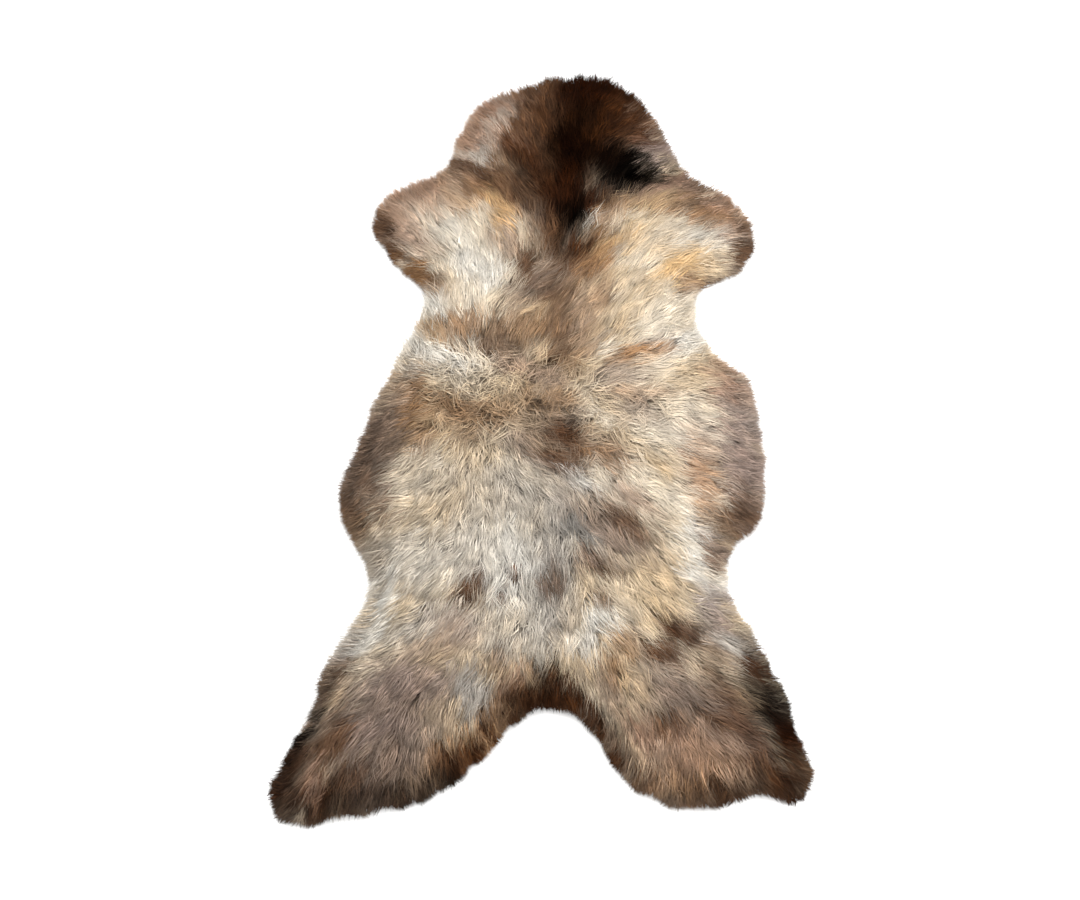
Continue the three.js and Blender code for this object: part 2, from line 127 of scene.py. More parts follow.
PATCHES = tuple(Patch(*row) for row in (
    # Throat and forelegs
    ("throat right", 640, 240, 46, 26, 0, Tone.CREAM, 0.8),
    ("left foreleg", 412, 212, 44, 36, -10, Tone.TAN, 0.9),
    ("left foreleg, cream", 454, 233, 44, 21, -28, Tone.CREAM, 1.0),
    ("left foreleg, heart", 456, 236, 28, 13, -28, Tone.WHITE, 0.4),
    ("left foreleg, tip", 380, 226, 34, 10, -72, Tone.UMBER, 0.85),
    ("left foreleg, lower rim", 402, 268, 36, 11, -42, Tone.BROWN, 0.9),
    ("left foreleg, low left", 389, 256, 34, 11, -60, Tone.UMBER, 0.85),
    ("left foreleg, warm rim", 416, 270, 22, 8, -35, Tone.OCHRE, 0.95),
    ("left foreleg, upper rim", 415, 184, 34, 8, 12, Tone.TAN, 0.8),
    ("left armpit", 432, 284, 16, 11, -40, Tone.OCHRE, 0.85),
    ("neck left, gold", 500, 198, 24, 13, -55, Tone.HONEY, 0.95),
    ("jaw left, low tan", 480, 187, 31, 10, -12, Tone.OCHRE, 0.95),
    ("neck left, honey", 470, 202, 26, 8, -14, Tone.HONEY, 0.45),
    ("neck left, brown", 524, 207, 20, 9, -60, Tone.OCHRE, 0.6),
    ("throat left", 508, 238, 22, 14, -50, Tone.TAN, 0.55),
    ("throat left, light", 480, 268, 30, 16, -20, Tone.WHITE, 0.9),
    ("right foreleg, upper", 700, 196, 40, 14, -28, Tone.UMBER, 0.85),
    ("right foreleg, shoulder", 727, 208, 24, 10, -48, Tone.TAN, 0.7),
    ("right foreleg, pale", 700, 238, 42, 17, -12, Tone.PALE, 0.9),
    ("right foreleg, inner band", 682, 209, 34, 10, -15, Tone.OCHRE, 0.8),
    ("right foreleg, outer band", 716, 217, 24, 11, -30, Tone.OCHRE, 0.8),
    ("right foreleg, inner", 655, 228, 30, 12, 0, Tone.GOLD, 0.45),
    ("right foreleg, tip", 747, 243, 27, 9, -85, Tone.BROWN, 0.9),
    ("right foreleg, inner tip", 731, 234, 10, 14, 0, Tone.TAN, 0.6),
    ("right foreleg, lower rim", 730, 274, 26, 8, 32, Tone.TAUPE, 0.7),
    ("right foreleg, low tip", 742, 260, 13, 8, -70, Tone.UMBER, 0.7),
    ("right armpit", 682, 268, 30, 14, 15, Tone.STRAW, 0.95),
    ("right armpit, deep", 692, 284, 14, 10, 30, Tone.HONEY, 0.6),
    ("right armpit, edge", 704, 285, 22, 11, 28, Tone.UMBER, 0.75),
    ("right armpit, low", 697, 299, 14, 12, 40, Tone.TAN, 0.6),
    ("right foreleg, straw", 672, 248, 36, 8, -5, Tone.STRAW, 0.35),
    # Head and nape
    ("head", 578, 125, 80, 60, 0, Tone.BROWN, 1.0),
    ("head, crown", 588, 86, 58, 18, -4, Tone.DARK_BROWN, 0.95),
    ("head, left crown", 500, 92, 42, 13, 25, Tone.TAN, 0.85),
    ("head, crown left", 536, 86, 20, 13, 10, Tone.UMBER, 0.85),
    ("head, left cheek", 477, 126, 54, 36, 48, Tone.TAN, 0.9),
    ("head, left rim", 458, 132, 44, 7, 62, Tone.UMBER, 0.45),
    ("head, left brow", 528, 112, 28, 22, 30, Tone.UMBER, 0.85),
    ("head, left streak", 515, 140, 28, 8, -52, Tone.TAN, 0.55),
    ("cheek, pale streak", 494, 117, 22, 7, 38, Tone.PALE, 0.5),
    ("cheek, low pale streak", 483, 148, 16, 8, 42, Tone.PALE, 0.75),
    ("head, left eye", 524, 152, 28, 13, -50, Tone.BROWN, 0.95),
    ("jaw left, pale", 465, 156, 15, 9, 10, Tone.PALE, 0.5),
    ("jaw left, dark", 476, 173, 26, 7, -12, Tone.BROWN, 0.85),
    ("jaw left, streak", 506, 177, 28, 11, -48, Tone.UMBER, 0.85),
    ("head, middle", 567, 150, 43, 23, 96, Tone.BLACK_BROWN, 0.95),
    ("head, middle, left streak", 541, 112, 24, 7, 80, Tone.BROWN, 0.5),
    ("head, upper, red", 607, 108, 18, 8, -50, Tone.DARK_BROWN, 0.8),
    ("head, upper right", 604, 105, 34, 26, -20, Tone.BLACK_BROWN, 0.8),
    ("head, right", 628, 118, 30, 24, -40, Tone.BROWN, 0.8),
    ("head, right rim", 650, 113, 22, 8, -58, Tone.TAN, 0.75),
    ("head, black", 634, 169, 42, 23, -12, Tone.BLACK, 1.0),
    ("head, black, upper", 600, 150, 22, 16, -40, Tone.BLACK_BROWN, 0.85),
    ("head, crown warm", 596, 90, 30, 8, 0, Tone.DARK_BROWN, 0.7),
    ("pale tuft", 658, 150, 21, 8, -48, Tone.MAUVE, 0.95),
    ("pale tuft, inner", 646, 138, 12, 7, -10, Tone.BROWN, 0.8),
    ("nape right", 665, 188, 38, 9, 8, Tone.TAUPE, 0.85),
    ("nape right, gold", 640, 200, 34, 8, 6, Tone.STRAW, 0.4),
    ("nape right, tan", 668, 184, 30, 7, 8, Tone.TAN, 0.8),
    ("nape", 566, 184, 32, 20, -42, Tone.DARK_BROWN, 0.95),
    ("nape, wedge left", 535, 198, 23, 15, -50, Tone.BROWN, 0.75),
    ("nape, wedge", 558, 212, 28, 20, 90, Tone.DARK_BROWN, 0.95),
    ("nape, wedge right", 598, 198, 24, 13, 20, Tone.DARK_BROWN, 0.95),
    ("nape, low right", 615, 206, 22, 9, 8, Tone.OCHRE, 0.7),
    ("nape, left fringe", 534, 184, 34, 13, -46, Tone.DARK_BROWN, 0.85),
    ("neck left, gold end", 499, 202, 21, 11, -50, Tone.STRAW, 0.65),
    ("nape streak", 570, 220, 32, 12, 72, Tone.BLACK, 1.0),
    ("nape, brown right", 588, 246, 30, 15, 35, Tone.BROWN, 1.0),
    ("nape, tan right", 597, 224, 17, 9, 20, Tone.OCHRE, 0.8),
    ("nape, brown left", 550, 238, 34, 14, -75, Tone.UMBER, 0.9),
    ("throat, left streak", 530, 266, 26, 13, -65, Tone.UMBER, 0.95),
    ("throat, right streak", 602, 256, 26, 12, 40, Tone.OCHRE, 0.95),
    ("throat right, gold", 622, 238, 24, 10, 20, Tone.STRAW, 0.6),
    ("white tuft", 595, 211, 9, 6, 0, Tone.PALE, 0.8),
    # Neck
    ("neck smudge", 545, 285, 42, 14, 25, Tone.TAUPE, 0.7),
    ("neck smudge, spine", 562, 302, 18, 28, 0, Tone.UMBER, 0.8),
    ("neck, right spine", 590, 275, 26, 14, 40, Tone.OCHRE, 0.45),
    ("neck, right of spine", 596, 303, 24, 13, 40, Tone.OCHRE, 0.7),
    ("neck band", 540, 325, 58, 13, -4, Tone.OCHRE, 0.75),
    ("neck band, left", 498, 338, 34, 12, -4, Tone.UMBER, 0.8),
    ("neck band, right", 580, 345, 24, 14, 20, Tone.OCHRE, 0.7),
    ("neck band, spine", 562, 345, 16, 24, 20, Tone.UMBER, 0.6),
    ("neck left, tan", 450, 325, 26, 11, 0, Tone.OCHRE, 0.7),
    ("neck left, white", 434, 300, 12, 15, 0, Tone.WHITE, 0.9),
    ("neck left, light", 465, 298, 26, 14, 0, Tone.CREAM, 0.6),
    ("neck left, low tan", 462, 314, 20, 8, 0, Tone.OCHRE, 0.5),
    ("neck left, warm", 474, 325, 18, 10, 0, Tone.HONEY, 0.5),
    ("neck right, cream", 668, 318, 36, 24, 20, Tone.CREAM, 0.9),
    ("neck right, grey", 618, 318, 30, 16, 40, Tone.GOLD, 0.4),
    ("neck right, brown", 648, 350, 44, 11, 22, Tone.OCHRE, 0.85),
    ("neck right, low light", 685, 340, 30, 12, 10, Tone.WHITE, 0.9),
    ("neck right, honey", 658, 352, 24, 9, 22, Tone.HONEY, 0.8),
    ("neck, pale fleck", 612, 343, 14, 9, 20, Tone.PALE, 0.6),
    ("neck right, low cream", 640, 372, 50, 10, 15, Tone.CREAM, 0.6),
    ("neck right, low gold", 622, 374, 26, 8, 5, Tone.TAUPE, 0.6),
    # Shoulders and the parting behind them
    ("left shoulder, white", 440, 356, 44, 15, -28, Tone.WHITE, 0.75),
    ("left shoulder, grey", 472, 376, 44, 9, -12, Tone.GOLD, 0.5),
    ("left shoulder, rim", 410, 352, 26, 10, 60, Tone.WHITE, 0.6),
    ("chest, tan", 520, 364, 26, 12, -20, Tone.TAN, 0.6),
    ("chest, cream", 552, 376, 18, 10, 0, Tone.TAUPE, 0.7),
    ("parting, brown", 550, 398, 28, 12, 0, Tone.OCHRE, 0.75),
    ("left shoulder, ochre", 408, 404, 36, 12, 78, Tone.OCHRE, 0.9),
    ("left whorl", 470, 410, 54, 16, -4, Tone.OCHRE, 0.75),
    ("left whorl, dark", 468, 416, 26, 9, -15, Tone.UMBER, 0.6),
    ("left whorl, tail", 470, 452, 34, 24, 90, Tone.GOLD, 0.5),
    ("left whorl, below", 469, 434, 22, 12, 0, Tone.UMBER, 0.5),
    # Spine and back
    ("spine, grey brown", 572, 432, 44, 25, -18, Tone.GREY_BROWN, 0.95),
    ("spine, dark", 582, 441, 28, 15, -20, Tone.BROWN, 1.0),
    ("spine, upper right", 602, 418, 17, 10, -20, Tone.CREAM, 0.8),
    ("spine, gold tail", 622, 440, 38, 13, -22, Tone.GOLD, 0.6),
    ("spine, low grey", 562, 468, 30, 14, -20, Tone.UMBER, 1.0),
    ("spine, left grey", 523, 447, 20, 14, 0, Tone.TAUPE, 0.7),
    ("spine, low pale", 584, 484, 18, 9, -20, Tone.WHITE, 0.8),
    ("right shoulder, pink", 700, 384, 30, 13, 0, Tone.GOLD, 0.6),
    ("left back, cream", 522, 494, 34, 32, 0, Tone.GREY, 0.7),
    ("left back, gold", 436, 510, 34, 60, 0, Tone.GOLD, 0.55),
    ("left back, ochre", 418, 440, 20, 12, 70, Tone.OCHRE, 0.7),
    ("left back, stripe", 470, 520, 30, 20, 60, Tone.PALE, 0.65),
    ("right back, cream", 668, 430, 52, 20, -22, Tone.CREAM, 0.75),
    ("right back, upper", 643, 414, 30, 12, -15, Tone.TAUPE, 0.5),
    ("parting, right tan", 640, 393, 34, 10, -5, Tone.TAN, 0.5),
    ("right back, streak", 640, 478, 60, 16, -36, Tone.CREAM, 0.8),
    ("spine, gold low", 606, 456, 30, 13, -24, Tone.OCHRE, 0.8),
    ("right back, tan", 636, 498, 26, 9, -36, Tone.TAN, 0.6),
    ("right side, low white", 703, 534, 24, 12, -70, Tone.WHITE, 0.95),
    ("right flank, inner", 700, 435, 24, 40, 0, Tone.PALE, 0.5),
    ("right ochre", 707, 484, 36, 11, -82, Tone.HONEY, 0.7),
    ("right ochre, upper", 704, 470, 44, 18, -82, Tone.TAN, 0.4),
    # Flanks
    ("left flank rim", 366, 452, 72, 19, 66, Tone.TAUPE, 0.9),
    ("left flank, dark", 362, 462, 50, 12, 68, Tone.GREY_BROWN, 0.8),
    ("left flank, low", 356, 528, 34, 13, -68, Tone.UMBER, 0.75),
    ("left flank, inner", 375, 492, 30, 10, -76, Tone.UMBER, 0.75),
    ("left flank, upper inner", 384, 458, 34, 11, 70, Tone.GREY_BROWN, 0.85),
    ("right flank rim", 744, 450, 80, 21, -84, Tone.MAUVE, 0.95),
    ("right flank, corner", 730, 384, 26, 16, -40, Tone.TAN, 0.75),
    ("right flank, grey", 748, 408, 34, 8, -84, Tone.GREY, 0.2),
    ("right flank, low", 736, 518, 30, 15, 62, Tone.UMBER, 0.85),
    ("right flank, bottom", 745, 532, 18, 10, 40, Tone.MAUVE, 0.6),
    # Loin and rump
    ("middle, white", 508, 566, 36, 42, 0, Tone.WHITE, 1.0),
    ("middle, grey", 556, 545, 56, 19, 84, Tone.GREY, 0.85),
    ("rump, cool middle", 552, 602, 28, 48, 0, Tone.GREY, 0.55),
    ("middle, grey streak", 545, 620, 40, 14, 88, Tone.ASH, 0.75),
    ("middle, white right", 508, 600, 20, 14, 0, Tone.WHITE, 0.6),
    ("diagonal, grey brown", 612, 530, 50, 24, -34, Tone.TAUPE, 0.85),
    ("diagonal, dark", 628, 520, 28, 11, -40, Tone.UMBER, 0.75),
    ("diagonal, low", 594, 566, 19, 11, -10, Tone.TAUPE, 0.9),
    ("diagonal, tail", 613, 574, 14, 9, 0, Tone.UMBER, 0.8),
    ("diagonal, left", 577, 536, 20, 13, -30, Tone.ASH, 0.9),
    ("right low, gold", 664, 590, 44, 28, -20, Tone.GOLD, 0.45),
    ("right low, cream", 690, 555, 34, 12, -40, Tone.CREAM, 0.65),
    ("waist right, white", 706, 582, 40, 10, -66, Tone.WHITE, 0.95),
    ("waist right, grey", 727, 576, 40, 9, -66, Tone.TAUPE, 0.95),
    ("left low, gold", 412, 570, 34, 26, 30, Tone.PALE, 0.45),
    ("left back, pale", 440, 475, 50, 24, 0, Tone.PALE, 0.45),
    ("loin left, pale", 450, 556, 60, 28, 0, Tone.PALE, 0.85),
    ("waist left, white", 382, 598, 40, 11, 74, Tone.WHITE, 1.0),
    ("left waist, grey", 374, 560, 32, 10, 84, Tone.GREY, 0.55),
    ("left spot", 469, 588, 19, 13, 48, Tone.UMBER, 0.9),
    ("left spot, heart", 466, 592, 10, 8, 20, Tone.BROWN, 0.5),
    ("small spot, upper", 514, 580, 8, 6, 0, Tone.UMBER, 1.0),
    ("small spot, lower", 500, 600, 9, 5, 0, Tone.UMBER, 0.8),
    ("middle spot", 551, 583, 19, 9, 86, Tone.GREY_BROWN, 0.9),
    ("middle spot, low", 556, 636, 16, 8, 20, Tone.TAUPE, 0.6),
    ("right spot", 604, 604, 10, 8, 20, Tone.UMBER, 0.65),
    ("right pale fleck", 600, 626, 22, 14, 30, Tone.WHITE, 1.0),
    ("rump, white", 520, 640, 48, 22, 0, Tone.PALE, 0.75),
    ("rump left, pale", 452, 620, 38, 15, 0, Tone.PALE, 0.9),
    ("rump, tan", 492, 662, 24, 14, 30, Tone.UMBER, 0.6),
    ("left hip, gold", 438, 640, 40, 22, 20, Tone.TAN, 0.5),
    ("left hip, brown", 385, 638, 44, 15, 18, Tone.GREY, 0.6),
    ("left hip, pale", 413, 638, 26, 10, 15, Tone.PALE, 0.7),
    # Left hind leg
    ("left hip rim", 338, 664, 36, 11, 62, Tone.UMBER, 0.85),
    ("left hip, light", 357, 644, 28, 12, 40, Tone.WHITE, 0.8),
    ("left thigh", 400, 688, 56, 26, 10, Tone.MAUVE, 0.9),
    ("left thigh, light", 470, 696, 34, 18, -62, Tone.GREY, 0.95),
    ("left thigh, gold", 448, 662, 30, 16, 0, Tone.GOLD, 0.5),
    ("left leg", 372, 742, 74, 40, 12, Tone.TAUPE, 0.9),
    ("left leg, mauve", 372, 730, 44, 14, 0, Tone.MAUVE, 0.6),
    ("left leg, low tan", 408, 772, 60, 20, 14, Tone.TAUPE, 0.8),
    ("left leg, inner", 470, 742, 52, 12, 42, Tone.OCHRE, 0.85),
    ("left leg, inner edge", 489, 740, 50, 6, 42, Tone.BROWN, 1.0),
    ("left sole, inner", 461, 764, 26, 12, 38, Tone.BROWN, 0.9),
    ("left sole, dark", 420, 792, 52, 9, 22, Tone.BLACK_BROWN, 0.85),
    ("left sole, edge", 350, 801, 58, 14, 8, Tone.DARK_BROWN, 0.85),
    # Near-black outer edge of the left hind leg: partly dark wool, partly painted shade where it
    # turns down.
    ("left leg, outer", 300, 735, 56, 11, 62, Tone.BLACK_BROWN, 1.0),
    ("left knee, grey", 322, 700, 16, 8, 70, Tone.GREY_BROWN, 0.7),
    ("left leg, upper edge", 327, 745, 30, 13, 62, Tone.UMBER, 0.85),
    ("left foot", 294, 800, 38, 19, 10, Tone.DARK_BROWN, 0.9),
    ("left foot, rim", 276, 790, 24, 9, 60, Tone.DARK_BROWN, 0.8),
    ("left foot, tuft", 312, 784, 18, 8, 78, Tone.TAN, 0.95),
    ("left foot, inner", 342, 783, 28, 12, 20, Tone.BROWN, 0.75),
    ("left ankle", 298, 768, 22, 10, 60, Tone.DARK_BROWN, 0.9),
    # Between the hind legs
    ("crotch, left gold", 512, 686, 24, 12, 45, Tone.TAN, 0.8),
    ("crotch", 540, 695, 40, 13, 6, Tone.BROWN, 0.95),
    ("crotch, dark", 545, 675, 15, 10, -40, Tone.DARK_BROWN, 0.95),
    ("crotch, edge", 530, 706, 46, 9, 18, Tone.DARK_BROWN, 0.75),
    ("crotch, right", 574, 705, 20, 10, -35, Tone.BROWN, 1.0),
    # Right hind leg
    ("right rump, gold", 588, 668, 34, 20, -60, Tone.GOLD, 0.6),
    ("rump, right pale", 584, 648, 18, 13, 0, Tone.WHITE, 0.75),
    ("right rump, upper tan", 631, 648, 16, 12, -50, Tone.OCHRE, 0.7),
    ("right rump, tan", 614, 674, 16, 12, -60, Tone.OCHRE, 0.8),
    ("right thigh, gold", 612, 700, 36, 12, -58, Tone.TAUPE, 0.6),
    ("right rump, smudge", 681, 632, 20, 13, -20, Tone.BROWN, 1.0),
    ("right rump, dark", 678, 628, 9, 8, 0, Tone.DARK_BROWN, 0.6),
    ("right rump, low smudge", 664, 658, 18, 11, -30, Tone.UMBER, 1.0),
    ("right rump, middle", 676, 645, 14, 11, 0, Tone.UMBER, 0.8),
    ("right hip", 715, 640, 38, 17, -24, Tone.GREY_BROWN, 0.8),
    ("right hip, upper", 717, 613, 26, 12, -58, Tone.MAUVE, 0.8),
    ("right hip, light", 738, 654, 28, 10, -42, Tone.WHITE, 0.6),
    ("right thigh", 690, 705, 60, 34, -18, Tone.TAUPE, 0.9),
    ("right thigh, light", 640, 690, 24, 14, -50, Tone.GOLD, 0.45),
    ("right thigh, dark", 719, 726, 20, 11, -40, Tone.UMBER, 0.85),
    ("right thigh, low", 673, 732, 26, 14, -10, Tone.UMBER, 1.0),
    ("right leg, upper inner", 643, 737, 16, 14, -60, Tone.TAN, 0.9),
    ("right leg, gold", 700, 762, 60, 28, 0, Tone.TAN, 0.9),
    ("right leg, ochre", 690, 768, 44, 14, 6, Tone.OCHRE, 0.35),
    ("right leg, inner", 616, 752, 46, 12, -58, Tone.GREY_BROWN, 0.85),
    ("right leg, inner edge", 606, 745, 50, 6, -60, Tone.BROWN, 0.95),
    ("right sole", 680, 798, 50, 9, 0, Tone.BROWN, 0.75),
    ("right sole, tan", 700, 786, 38, 9, -4, Tone.HONEY, 0.65),
    ("right sole, inner", 648, 784, 20, 9, -10, Tone.UMBER, 0.8),
    ("right leg, grey", 752, 740, 34, 14, -50, Tone.TAUPE, 0.9),
    ("right leg, outer shade", 740, 712, 60, 18, -62, Tone.BROWN, 0.7),
    # Near-black outer edge of the right hind leg: partly dark wool, partly painted shade where it
    # turns down.
    ("right leg, outer", 779, 715, 73, 18, -65, Tone.BLACK_BROWN, 0.97),
    ("right leg, outer rim", 791, 742, 28, 10, -70, Tone.DARK_BROWN, 0.8),
    ("right knee, dark", 754, 670, 20, 8, -60, Tone.BROWN, 0.8),
    ("right foot", 790, 783, 24, 16, -50, Tone.DARK_BROWN, 0.95),
    ("right foot, rim", 802, 762, 20, 8, -70, Tone.UMBER, 0.6),
    ("right foot, inner", 765, 778, 34, 16, -35, Tone.BROWN, 0.8),
    ("right sole, outer", 735, 792, 46, 11, -5, Tone.DARK_BROWN, 0.85),
))


@dataclass(frozen=True)
class NapRow:
    """Which way the wool lies at one place of the photograph.

    heading is in degrees in the plan, anticlockwise from +X, so 90 points to the head.
    """

    place: str
    x: float
    y: float
    heading: float


NAP = tuple(NapRow(*row) for row in (
    ("left cheek", 475, 130, 138),
    ("left brow", 512, 105, 122),
    ("left eye", 528, 150, 110),
    ("jaw left", 470, 172, 145),
    ("crown", 580, 90, 82),
    ("head, middle", 565, 135, 94),
    ("head, right", 620, 105, 42),
    ("head, right rim", 648, 135, 18),
    ("nape, right", 640, 180, 22),
    ("nape", 590, 190, 60),
    ("nape, left", 540, 190, 132),
    ("left foreleg, tip", 395, 235, 145),
    ("left foreleg, top", 415, 195, 118),
    ("left foreleg, low", 425, 268, 155),
    ("throat left", 470, 230, 130),
    ("throat, left of spine", 515, 235, 120),
    ("throat", 560, 240, 90),
    ("throat, right of spine", 600, 245, 50),
    ("throat right", 650, 232, 18),
    ("right foreleg, tip", 735, 240, 12),
    ("right foreleg, top", 705, 200, 26),
    ("right foreleg, low", 700, 275, 0),
    ("neck left", 435, 310, 84),
    ("neck, inner left", 470, 285, 108),
    ("neck, left smudge", 520, 300, 35),
    ("neck", 570, 310, 52),
    ("neck, inner right", 620, 310, 45),
    ("neck right", 675, 315, 28),
    ("chest left", 445, 350, 112),
    ("chest", 530, 345, 62),
    ("chest right", 650, 350, 20),
    ("right shoulder rim", 725, 350, -22),
    ("parting, left end", 400, 385, 186),
    ("above the parting, left", 452, 374, 122),
    ("above the parting, middle", 500, 376, 82),
    ("above the parting, right", 545, 378, 48),
    ("below the parting, left", 448, 404, 226),
    ("below the parting, middle", 490, 406, 272),
    ("below the parting, right", 535, 408, 312),
    ("parting, right", 620, 388, 356),
    ("parting, right end", 715, 388, -4),
    ("left whorl, left", 420, 430, 208),
    ("left whorl, below", 470, 450, 268),
    ("left whorl, right", 520, 430, 325),
    ("spine", 575, 440, 300),
    ("right back", 650, 440, 328),
    ("right flank, upper", 725, 440, 340),
    ("left flank", 365, 470, 225),
    ("left back", 420, 490, 210),
    ("left of middle", 475, 520, 262),
    ("middle", 540, 520, 270),
    ("right of middle", 620, 515, 305),
    ("right side", 690, 515, 336),
    ("left waist", 390, 560, 214),
    ("loin left", 445, 575, 238),
    ("loin", 540, 600, 270),
    ("loin right", 640, 580, 302),
    ("right waist", 705, 590, 338),
    ("left hip", 375, 635, 196),
    ("left rump", 445, 650, 234),
    ("rump", 550, 660, 268),
    ("right rump", 650, 655, 306),
    ("right hip", 725, 650, 338),
    ("left thigh", 360, 700, 222),
    ("left inner thigh", 450, 700, 262),
    ("left crotch", 505, 700, 282),
    ("right crotch", 590, 700, 276),
    ("right inner thigh", 640, 710, 290),
    ("right thigh", 740, 700, 332),
    ("left leg, outer", 305, 755, 238),
    ("left leg", 365, 765, 258),
    ("left leg, inner", 440, 765, 288),
    ("right leg, inner", 635, 765, 262),
    ("right leg", 700, 770, 276),
    ("right leg, outer", 770, 755, 314),
))


@dataclass(frozen=True)
class RimRow:
    """How far the wool's tips reach past the hide's rim near one place of the photograph.

    reach is in millimetres, over and above each layer's own overhang.
    """

    place: str
    x: float
    y: float
    reach: float


RIM = tuple(RimRow(*row) for row in (
    ("crown", 605, 78, 23),
    ("left brow", 510, 88, 13),
    ("jaw left", 450, 160, 6),
    ("left foreleg, top", 391, 192, 7),
    ("left foreleg, low", 400, 275, 0),
    ("head, right", 658, 125, 2),
    ("right foreleg, top", 698, 179, 4),
    ("neck right", 704, 310, -1.5),
    ("neck left", 421, 308, 1),
    ("right shoulder", 749, 378, 2),
    ("right flank", 762, 443, -2),
    ("waist right", 729, 564, 2.5),
    ("left flank", 345, 480, 0),
    ("right leg, outer", 792, 720, -5),
    ("right foot, rim", 803, 757, -8),
    ("right foot", 796, 805, 4),
    ("right sole", 690, 808, -1),
    ("right leg, inner", 613, 767, -3),
    ("crotch", 535, 716, -5),
    ("left leg, inner", 470, 770, -3),
    ("left sole, inner", 448, 791, 1),
    ("left sole", 370, 814, -2.5),
    ("left foot", 266, 805, 1.5),
    ("left leg, outer", 289, 745, -6),
    ("left hip", 335, 655, -1),
))


@dataclass(frozen=True)
class CurlRow:
    """A place where the wool stands up in small curls instead of lying down.

    spread is how far the curls go, in millimetres, and strength how much of the lie they
    undo.
    """

    place: str
    x: float
    y: float
    spread: float
    strength: float


CURLS = tuple(CurlRow(*row) for row in (
    ("spine", 575, 432, 42, 0.6),
    ("parting, middle", 560, 395, 40, 0.5),
    ("parting, right", 625, 400, 36, 0.45),
    ("parting, left", 480, 395, 45, 0.35),
    ("middle spots", 520, 590, 55, 0.25),
    ("nape", 600, 205, 34, 0.35),
))


@dataclass(frozen=True)
class PhotoView:
    """The photograph's viewpoint, as a camera and as a way from the pelt to its pixels."""

    width: float = 1080.0
    height: float = 900.0
    elevation: float = 66.0
    distance: float = 1.75
    focal: float = 1313.0
    aim: tuple[float, float, float] = (-0.002, -0.055, 0.0)
    sensor: float = 36.0
    far: float = 50.0

    def basis(self) -> tuple[np.ndarray, np.ndarray, np.ndarray, np.ndarray]:
        """The way the camera looks, forward = (0, cos(elevation), -sin(elevation)).

        Returns:
            The camera's place and its right, up and forward directions.
        """
        tilt = np.radians(self.elevation)
        forward = np.array([0.0, np.cos(tilt), -np.sin(tilt)])
        right = np.array([1.0, 0.0, 0.0])
        place = np.array(self.aim) - self.distance * forward
        return place, right, np.cross(right, forward), forward

    def project(self, points: np.ndarray) -> np.ndarray:
        """The photograph's pixels of points: focal * offset / depth from the middle.

        Args:
            points: Places on the pelt, one row of x, y and z each.

        Returns:
            One row of pixel x and y for each point.
        """
        place, right, up, forward = self.basis()
        away = points - place
        depth = away @ forward
        across = self.width / 2 + self.focal * (away @ right) / depth
        down = self.height / 2 - self.focal * (away @ up) / depth
        return np.stack([across, down], axis=-1)

    def to_plan(self, rows: Sequence[Any], level: float) -> np.ndarray:
        """Where the sight lines through a chart's rows meet a level plane.

        Args:
            rows: Chart rows, each with its pixel as x and y.
            level: The plane's height above the floor.

        Returns:
            Rows of x and y on that plane.
        """
        pixels = np.array([(row.x, row.y) for row in rows])
        place, right, up, forward = self.basis()
        aside = (pixels[:, :1] - self.width / 2) / self.focal
        above = (self.height / 2 - pixels[:, 1:]) / self.focal
        sight = forward + aside * right + above * up
        reach = (level - place[2]) / sight[:, 2:]
        return (place + reach * sight)[:, :2]

    def make_camera(self) -> None:
        """Sets the scene's camera at this viewpoint."""
        data = bpy.data.cameras.new("camera")
        data.sensor_width = self.sensor
        data.lens = self.focal / self.width * self.sensor
        data.clip_end = self.far
        camera = bpy.data.objects.new("camera", data)
        camera.location = self.basis()[0]
        camera.rotation_euler = (np.radians(90.0 - self.elevation), 0.0, 0.0)
        bpy.context.collection.objects.link(camera)
        bpy.context.scene.camera = camera


def nearness(spots: np.ndarray, middles: np.ndarray, spread: Any) -> np.ndarray:
    """How near each spot is to each middle: exp(-(distance / spread)^2).

    Args:
        spots: Rows of x and y.
        middles: Rows of x and y.
        spread: One length for all the middles, or one each.

    Returns:
        An array of spot by middle, from 0 far off to 1.
    """
    away = ((spots[:, None] - middles[None]) ** 2).sum(-1)
    return np.exp(-away / spread**2)


def blurred(values: np.ndarray, cells: float) -> np.ndarray:
    """A raster smoothed by a bell curve once along each axis.

    Args:
        values: The raster.
        cells: The bell's width, which is cut off three widths out.

    Returns:
        A raster of the same shape.
    """
    reach = max(1, int(np.ceil(3 * cells)))
    bell = np.exp(-0.5 * (np.arange(-reach, reach + 1) / cells) ** 2)
    bell /= bell.sum()
    for axis in (0, 1):
        padding = [(reach, reach) if side == axis else (0, 0) for side in (0, 1)]
        padded = np.pad(values, padding, "edge")
        count = values.shape[axis]
        parts = [np.take(padded, range(k, k + count), axis=axis) for k in range(len(bell))]
        values = np.tensordot(bell, np.stack(parts), axes=1)
    return values


